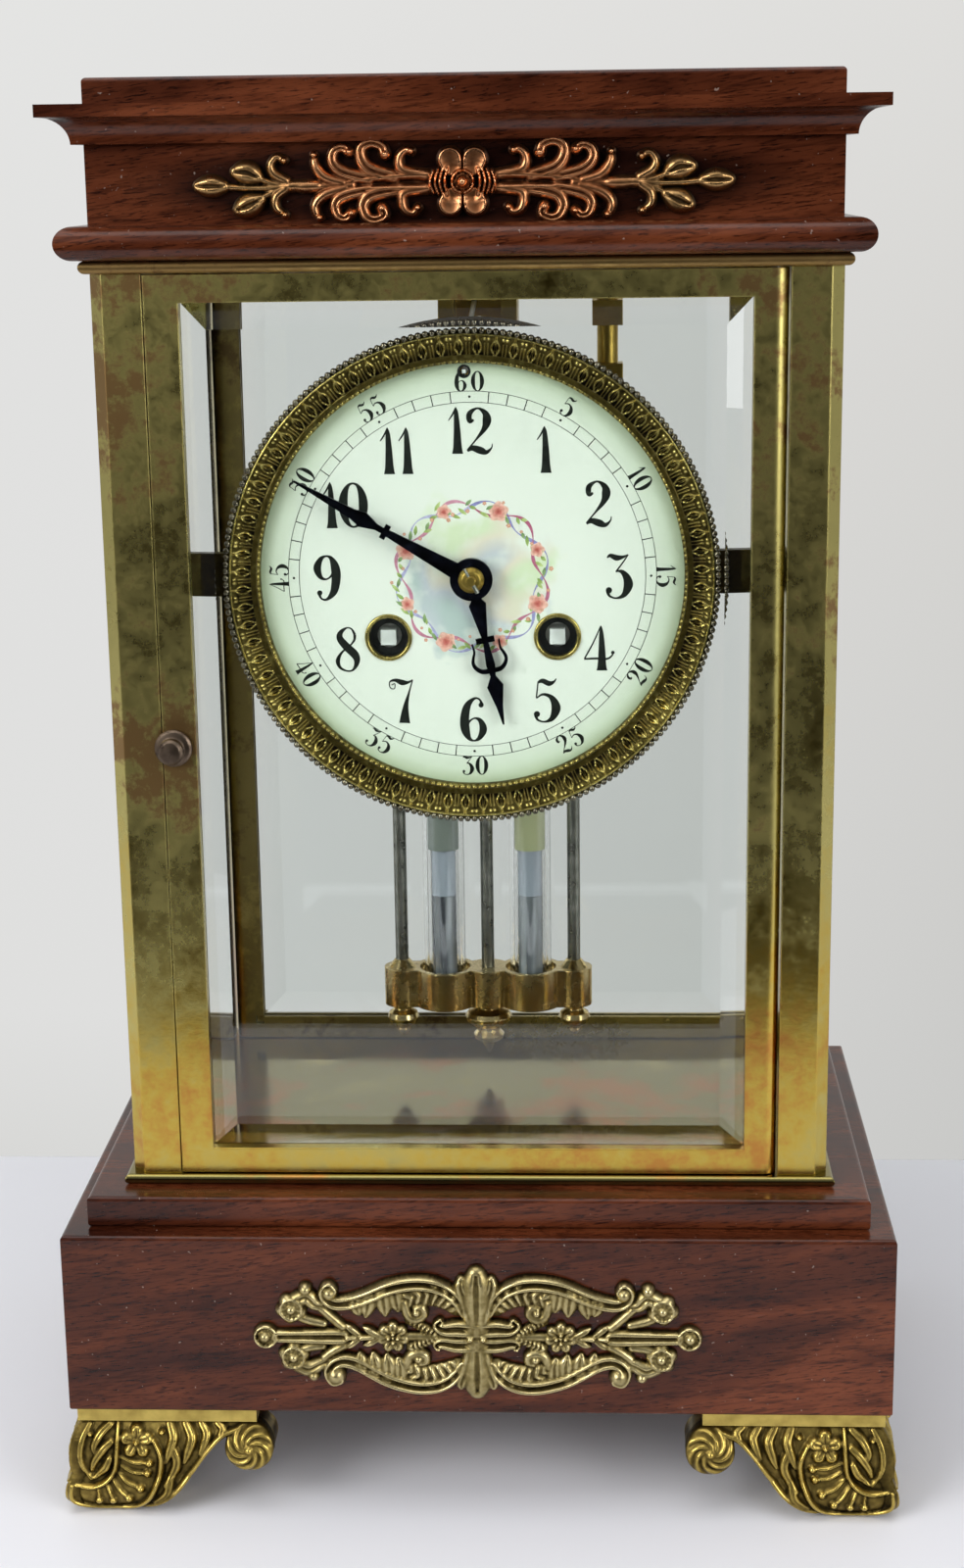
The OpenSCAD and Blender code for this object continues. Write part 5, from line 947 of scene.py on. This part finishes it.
# strokes of each digit as rows of (across, up, half width) in thousandths of its height; one row is a ball
heavyBowl = [(400, 590, 45), (500, 460, 80), (530, 290, 95), (440, 90, 55), (280, 15, 20), (130, 60, 25),
             (80, 160, 35)]
six = [
    [(490, 850, 30), (430, 960, 20), (310, 970, 30), (160, 800, 75), (100, 500, 95), (120, 250, 90),
     (200, 70, 45), (310, 20, 20), (430, 90, 50), (510, 280, 80), (450, 470, 50), (330, 530, 20),
     (220, 470, 22), (150, 360, 30)],
    [(470, 830, 55)],
]
oval = np.linspace(0, 2 * np.pi, 17)
digits = {
    "0": [np.stack([310 + 220 * np.sin(oval), 500 + 475 * np.cos(oval), 20 + 75 * np.sin(oval) ** 2], 1)],
    "1": [[(210, 1000, 8), (220, 860, 45), (235, 500, 68), (240, 150, 88), (240, 0, 115)],
          [(210, 985, 14), (140, 840, 18), (50, 710, 10)]],
    "2": [[(200, 720, 20), (110, 700, 50), (110, 860, 55), (280, 970, 20), (440, 870, 60), (480, 710, 90),
           (420, 530, 55), (240, 300, 20), (70, 100, 16)],
          [(50, 60, 25), (160, 120, 55), (330, 70, 75), (460, 30, 45), (570, 120, 16), (590, 210, 10)]],
    "3": [[(70, 900, 12), (140, 950, 40), (280, 900, 60), (420, 920, 30), (530, 970, 10)],
          [(530, 965, 12), (400, 780, 15), (270, 600, 18), (300, 610, 18)] + heavyBowl,
          [(110, 190, 65)]],
    "4": [[(390, 1000, 10), (400, 820, 45), (410, 450, 70), (410, 120, 90), (410, 0, 115)],
          [(385, 990, 12), (220, 620, 15), (30, 270, 16)],
          [(20, 260, 20), (300, 270, 22), (520, 260, 22), (630, 330, 16), (660, 400, 12)],
          [(650, 400, 38)]],
    "5": [[(140, 920, 14), (120, 740, 14), (100, 550, 14)],
          [(130, 900, 20), (240, 940, 50), (380, 880, 55), (490, 920, 25), (540, 990, 10)],
          [(100, 550, 14), (240, 635, 25)] + heavyBowl,
          [(110, 190, 65)]],
    "6": six,
    "7": [[(90, 860, 10), (160, 890, 10), (150, 780, 10), (60, 800, 10), (50, 930, 14), (170, 970, 35),
           (320, 920, 60), (450, 920, 30), (560, 980, 10)],
          [(555, 975, 12), (480, 720, 18), (400, 420, 50), (370, 180, 85), (360, 0, 115)]],
    "8": [[(470, 830, 30), (400, 955, 18), (290, 980, 18), (160, 880, 50), (140, 740, 70), (290, 550, 85),
           (460, 380, 85), (500, 220, 60), (420, 50, 25), (290, 15, 18), (130, 90, 30), (80, 250, 45),
           (170, 430, 24), (340, 570, 18), (450, 700, 24), (470, 830, 30)]],
    "9": [[(620 - x, 1000 - y, w) for x, y, w in rows] for rows in six],
}
digitWide = {**dict.fromkeys(digits, 0.62), "1": 0.40, "4": 0.68}


# figures of a number side by side with a gap between them, centred on the origin
def figures(text, high, t, gap, bold):
    wides = [digitWide[c] for c in text]
    at, shapes = -(sum(wides) + gap * (len(text) - 1)) / 2, []
    for c, wide in zip(text, wides):
        for rows in digits[c]:
            x, y, w = np.asarray(rows, float).T / 1000
            shapes.append(ribbon(np.stack([(x + at) * high, (y - 0.5) * high, w * high * bold], -1), t))
        at += wide + gap
    return join(shapes)


# place on the dial at a radius and an angle clockwise from the top
def aroundDial(r, angle):
    return r * math.sin(math.radians(angle)), r * math.cos(math.radians(angle)), 0


dialInk = {"proud": 0.06, "hourR": 35.0, "hourHigh": 11.0, "minuteR": 46.5, "minuteHigh": 4.8,
           "minuteGap": 0.1, "apart": 0.2, "bold": 1.05, "trackOut": 44.2, "trackIn": 41.6, "line": 0.06,
           "tick": 0.11, "dot": 0.3, "upsideDown": (100, 260)}
ink, line = dialInk["proud"], dialInk["line"]
marks = []
for hour in range(1, 13):
    turn = 30 * hour
    place = aroundDial(dialInk["hourR"], turn)
    marks.append(turned(figures(str(hour), dialInk["hourHigh"], ink, 0.0, dialInk["bold"]), 0, place))
    over = 180 if dialInk["upsideDown"][0] < turn < dialInk["upsideDown"][1] else 0
    gap = dialInk["apart"] if hour == 12 else dialInk["minuteGap"]
    number = figures(str(5 * hour), dialInk["minuteHigh"], ink, gap, dialInk["bold"])
    marks.append(turned(number, over - turn, aroundDial(dialInk["minuteR"], turn)))
track = (dialInk["trackOut"], dialInk["trackIn"])
for r in track:
    marks.append(lathe([(r - line, 0), (r + line, 0), (r + line, ink), (r - line, ink)], 240, loop=True))
for minute in range(60):
    rows = [(*aroundDial(sum(track) / 2, 6 * minute)[:2], dialInk["dot"])]
    if minute % 5:
        rows = [(*aroundDial(r, 6 * minute)[:2], dialInk["tick"]) for r in track[::-1]]
    marks.append(ribbon(rows, ink, 1, 12))
makePiece("dialFigures", moved(join(marks), onDial), finishes["ink"], "case")

# painted wreath of small roses, leaves and a ribbon round the middle of the dial
wreath = {"radius": 17.0, "roses": 8, "leaves": 60, "buds": 30, "seed": 11, "sway": 1.7, "waves": 6,
          "leaf": ((0, 0.05), (0.35, 0.42), (0.7, 0.34), (1, 0.02)), "leafThick": (0.035, 0.045, 0.055),
          "ribbons": ((0.0, "#8f8cc6", "#c3bfe2"), (np.pi, "#b85c7c", "#d99ab0")), "ribbonThick": 0.03,
          "greens": (("#7f9a52", "#b9cd7f"), ("#98b060", "#d3df9c"), ("#6d8a58", "#a9c08a")),
          "bud": ("#f0c9a8", "#d98a78"), "roseSizes": (2.3, 1.7),
          "rings": ((1.0, 0.06, 5, "#e79a8c", "#f3c4b4"), (0.68, 0.085, 4, "#d9786e", "#eba99a"),
                    (0.38, 0.11, 3, "#b95650", "#dd8478"))}
pick = np.random.default_rng(wreath["seed"])
dabs = []
turn = np.linspace(0, 2 * np.pi, 73)
for phase, tint, shade in wreath["ribbons"]:
    r = wreath["radius"] + wreath["sway"] * np.sin(wreath["waves"] * turn + phase)
    w = 0.28 + 0.16 * np.cos(2 * wreath["waves"] * turn + phase)
    rows = np.stack([r * np.sin(turn), r * np.cos(turn), w], -1)
    dabs.append(painted(ribbon(rows, wreath["ribbonThick"], 3), tint, shade))
for k in range(wreath["leaves"]):
    b = 2 * np.pi * (k + pick.uniform(-0.3, 0.3)) / wreath["leaves"]
    r = wreath["radius"] + pick.uniform(-1.4, 1.4)
    lean = b + np.pi / 2 + pick.choice([-1, 1]) * pick.uniform(0.3, 0.9)
    tip = np.array([math.sin(lean), math.cos(lean)]) * pick.uniform(1.6, 2.8)
    root = np.array([r * math.sin(b), r * math.cos(b)])
    rows = [(*(root + f * tip), w) for f, w in wreath["leaf"]]
    dabs.append(painted(ribbon(rows, wreath["leafThick"][k % 3], 4), *wreath["greens"][k % 3]))
for k in range(wreath["buds"]):
    b = 2 * np.pi * (k + pick.uniform(-0.4, 0.4)) / wreath["buds"]
    r = wreath["radius"] + pick.uniform(-2.6, 2.6)
    size = pick.uniform(0.35, 0.55)
    bud = blot(r * math.sin(b), r * math.cos(b), size, 0.06, lobes=5, depth=0.18, turn=k)
    dabs.append(painted(bud, *wreath["bud"]))
for k in range(wreath["roses"]):
    b = 2 * np.pi * (k + 0.5) / wreath["roses"]
    x, y = wreath["radius"] * math.sin(b), wreath["radius"] * math.cos(b)
    size = wreath["roseSizes"][k % 2]
    for f, high, lobes, heart, rim in wreath["rings"]:
        petals = blot(x, y, f * size, high, lobes, depth=0.12, turn=k + 5 * f, around=28)
        dabs.append(painted(petals, heart, rim))
makePiece("dialWreath", moved(join(dabs), onDial), finishes["paint"], "case")

# taper pin through the arbor in front of the hands' collet
pinSet = {"long": 6.6, "thick": 0.55, "thin": 0.32, "turn": -62.0}
nutY = boxOf("hand_nut")[0][1]
taper = lathe([(0, 0), (pinSet["thin"], 0), (pinSet["thick"], pinSet["long"]), (0, pinSet["long"])], 16)
c, s = math.cos(math.radians(pinSet["turn"])), math.sin(math.radians(pinSet["turn"]))
pin = moved(taper, lambda p: np.stack([
    (p[:, 2] - pinSet["long"] / 2) * c + p[:, 0] * s, nutY + p[:, 1],
    dialZ + (p[:, 2] - pinSet["long"] / 2) * s - p[:, 0] * c], -1))
makePiece("taperPin", pin, finishes["steel"], "center")

# near-black cups behind the winding holes and the regulating hole, painted shade for the dark inside, as
# (place, radius, radius round the arbor)
arborX, _, arborZ = sum(boxOf("regulator_arbor")) / 2
regulatorAt = (arborX, arborZ - dialZ, 0)
wellSet = {"top": -0.7, "low": -3.2, "wall": 0.12, "winding": (4.66, 2.95), "regulating": (1.5, 1.15),
           "collarIn": 1.1, "collarOut": 1.6, "collarHigh": 0.07}
holes = [(*at, 0, *wellSet["winding"]) for at in windingHole["at"]] + [(*regulatorAt, *wellSet["regulating"])]
top, low, wall = wellSet["top"], wellSet["low"], wellSet["wall"]
wells = []
for *at, r, bore in holes:
    cup = [(r, top), (r, low), (bore, low), (bore, low + wall), (r - wall, low + wall), (r - wall, top)]
    wells.append(moved(turned(lathe(cup, 48, loop=True), 0, at), onDial))
inner, outer, high = wellSet["collarIn"], wellSet["collarOut"], wellSet["collarHigh"]
collar = lathe([(inner, 0.0), (outer, 0.0), (outer, high), (inner, high)], 48, loop=True)
wells.append(moved(turned(collar, 0, regulatorAt), onDial))
makePiece("dialWells", join(wells), finishes["paintedShadeBlack"], "case")

# square cap on the front end of the regulating arbor
capSet = {"half": 0.55, "front": -0.2, "back": -2.6, "chamfer": 0.15, "face": 0.8, "turn": 12}
square = capSet["half"] * np.array([(-1, -1), (1, -1), (1, 1), (-1, 1)])
rows = [(0.0, capSet["back"]), (1.0, capSet["back"]), (1.0, capSet["front"] - capSet["chamfer"]),
        (capSet["face"], capSet["front"]), (0.0, capSet["front"])]
cap = sheet(np.stack([np.column_stack([square * k, np.full(4, z)]) for k, z in rows]), loopColumns=True)
cap = moved(turned(cap, capSet["turn"], regulatorAt), onDial)
makePiece("regulatorCap", cap, finishes["steel"], "regulator")

# lining of the two jars: a pale matt sheet above the bright column, painted light for the clear glass there,
# and a sleeve on each plug
columnLow, columnHigh = boxOf("mercury")
columnR = (columnHigh[1] - columnLow[1]) / 2
jarAt = columnHigh[0] - columnR
jarY = (columnLow[1] + columnHigh[1]) / 2
jarSet = {"plugZ": 149.2, "plugR": 4.08, "tubeLightR": columnR - 0.05, "top": boxOf("vials")[1][2] - 3.0,
          "gap": 0.1, "seat": 0.05}


# closed cylinder of a jar, side -1 or 1, from one height to another
def jarFill(side, r, low, high):
    return moved(lathe([(0, low), (r, low), (r, high), (0, high)], 40), lambda p: p + [side * jarAt, jarY, 0])


tubeLight = (jarSet["tubeLightR"], columnHigh[2] + jarSet["gap"], jarSet["plugZ"] - jarSet["gap"])
tubeLights = join([jarFill(side, *tubeLight) for side in (-1, 1)])
makePiece("tubePaintedLight", tubeLights, finishes["tubePaintedLight"], "pendulum")
plug = (jarSet["plugR"], jarSet["plugZ"] - jarSet["seat"], jarSet["top"])
for side, name, finish in ((-1, "leftPlug", "greyPlug"), (1, "rightPlug", "creamPlug")):
    makePiece(name, jarFill(side, *plug), finishes[finish], "pendulum")

# studio: a pale table that ends behind the object, and a pale wall some way behind it
studio = {"near": -395.0, "far": 163.0, "wide": 2400.0, "thick": 40.0, "round": 3.0,
          "wall": 1500.0, "wallWide": 6000.0, "wallLow": -1500.0, "wallHigh": 3000.0}


# flat stage object from a line of (y, z) points carried across, open or closed
def stagePiece(name, line, wide, material, loop=False):
    line = np.asarray(line, float)
    ends = np.array([-1, 1]) * wide / 2
    grid = np.stack(np.broadcast_arrays(ends[None], line[:, :1], line[:, 1:]), -1)
    points, faces, _ = sheet(grid, loopRows=loop)
    mesh = bpy.data.meshes.new(name)
    mesh.from_pydata((points * millimetre).tolist(), [], faces[0][:, ::-1].tolist())
    mesh.materials.append(material)
    made = bpy.data.objects.new(name, mesh)
    scene.collection.objects.link(made)


# 1 for a ray that shows the background itself: the camera's own, or one on through glass without such bounces
def backdropRay(tree, path, bounces):
    count = path.outputs[bounces[0]]
    for kind in bounces[1:]:
        count = reckon(tree, "ADD", count, path.outputs[kind])
    straight = reckon(tree, "LESS_THAN", count, 0.5)
    through = reckon(tree, "MULTIPLY", path.outputs["Is Transmission Ray"], straight)
    return reckon(tree, "MAXIMUM", path.outputs["Is Camera Ray"], through)


# matt paper on the table
tablePaper = principled(newMaterial("matt table paper")[0],
                        {"Base Color": linear("#e7e7ec"), "Roughness": 0.55, "Specular IOR Level": 0.3})
# painted wall: pale to the camera, in metal and through glass, with painted shade darker to the right and
# lower down, and plain matt to other light
wallSet = {"up": (-0.6, 0.9), "across": (-0.4, 0.4),
           "left": [(0.0, "#d6d6d4"), (0.12, "#dfdfde"), (0.5, "#e1e1e0"), (1.0, "#e8e8e6")],
           "right": [(0.0, "#c8c8c6"), (0.12, "#cbcbc9"), (0.5, "#d6d5d2"), (1.0, "#e9e8e6")]}
wallPaint, tree, coords = newMaterial("matt wall paint")
up = carried(tree, axisOf(tree, coords, "Z"), wallSet["up"])
across = carried(tree, axisOf(tree, coords, "X"), wallSet["across"])
# painted shade: the wall darker to the right and towards the bottom
shade = blend(tree, across, ramp(tree, up, *wallSet["left"]), ramp(tree, up, *wallSet["right"]))
even = addNode(tree, "Emission", {"Strength": 1.0, "Color": shade})
plain = addNode(tree, "BsdfDiffuse", {"Color": shade})
path = addNode(tree, "LightPath")
seen = reckon(tree, "MAXIMUM", backdropRay(tree, path, ["Diffuse Depth"]), path.outputs["Is Glossy Ray"])
mix = addNode(tree, "MixShader", {0: seen, 1: plain.outputs[0], 2: even.outputs[0]})
addNode(tree, "OutputMaterial", {"Surface": mix.outputs[0]})
corner = np.linspace(0, np.pi / 2, 5)
bend = studio["round"] * np.stack([np.sin(corner) - 1, np.cos(corner) - 1], -1) + [studio["far"], 0]
stagePiece("table", np.vstack([[(studio["near"], -studio["thick"]), (studio["near"], 0)], bend,
                               [(studio["far"], -studio["thick"])]]), studio["wide"], tablePaper, True)
stagePiece("wall", [(studio["wall"], studio["wallLow"]), (studio["wall"], studio["wallHigh"])],
           studio["wallWide"], wallPaint)

# lamps: place, aim, size, power
lamps = [
    ("overhead softbox", (-0.1, -0.25, 1.4), (0.0, 0.0, 0.1), 1.2, 8.0),
    ("left softbox", (-1.1, -1.1, 0.8), (0.0, 0.0, 0.2), 1.0, 18.5),
    ("right fill", (1.2, -1.1, 0.6), (0.0, 0.0, 0.2), 1.0, 12.5),
]
for name, place, aim, size, power in lamps:
    light = bpy.data.lights.new(name, "AREA")
    light.shape = "DISK"
    light.size = size
    light.energy = power
    lamp = bpy.data.objects.new(name, light)
    lamp.location = place
    lamp.rotation_euler = (Vector(aim) - Vector(place)).to_track_quat("-Z", "Y").to_euler()
    scene.collection.objects.link(lamp)

# room: pale all round, dark in front of the table below the lamps; pale throughout as a plain background
roomSet = {"ahead": (-0.3, -0.75), "below": (0.45, 0.1), "pale": "#e6e8eb", "dark": "#1c1b1a", "light": 0.5,
           "plain": "#dcdcda"}
world = bpy.data.worlds.new("studio")
world.use_nodes = True
tree = world.node_tree
way = addNode(tree, "TexCoord").outputs["Generated"]
ahead = carried(tree, axisOf(tree, way, "Y"), roomSet["ahead"], curve="SMOOTHSTEP")
below = carried(tree, axisOf(tree, way, "Z"), roomSet["below"], curve="SMOOTHSTEP")
shade = reckon(tree, "MULTIPLY", ahead, below)
room = blend(tree, shade, linear(roomSet["pale"]), linear(roomSet["dark"]))
lit = addNode(tree, "Background", {"Strength": roomSet["light"], "Color": room})
pale = addNode(tree, "Background", {"Strength": 1.0, "Color": linear(roomSet["plain"])})
seen = backdropRay(tree, addNode(tree, "LightPath"), ["Diffuse Depth", "Glossy Depth"])
mix = addNode(tree, "MixShader", {0: seen, 1: lit.outputs[0], 2: pale.outputs[0]})
tree.links.new(mix.outputs[0], tree.nodes["World Output"].inputs["Surface"])
scene.world = world

cameraSet = {"place": (0.02894, -0.62209, 0.32766), "turn": (14.004, 2.452, -0.467), "lens": 56.57,
             "shift": (-0.00286, -0.00203), "sensor": 36.0, "clip": (0.01, 50.0)}
eye = bpy.data.cameras.new("camera")
eye.lens, eye.sensor_width = cameraSet["lens"], cameraSet["sensor"]
eye.shift_x, eye.shift_y = cameraSet["shift"]
eye.clip_start, eye.clip_end = cameraSet["clip"]
turn = Vector(cameraSet["turn"])
level = Matrix(((1, 0, 0), (0, 0, -1), (0, 1, 0)))
look = Matrix.Rotation(math.radians(turn.length), 3, turn.normalized()) @ level
camera = bpy.data.objects.new("camera", eye)
camera.matrix_world = (Matrix.Translation(cameraSet["place"])
                       @ Matrix((look[0], -look[1], -look[2])).transposed().to_4x4())
scene.collection.objects.link(camera)
scene.camera = camera
scene.view_settings.view_transform = "Standard"

print("stage set")
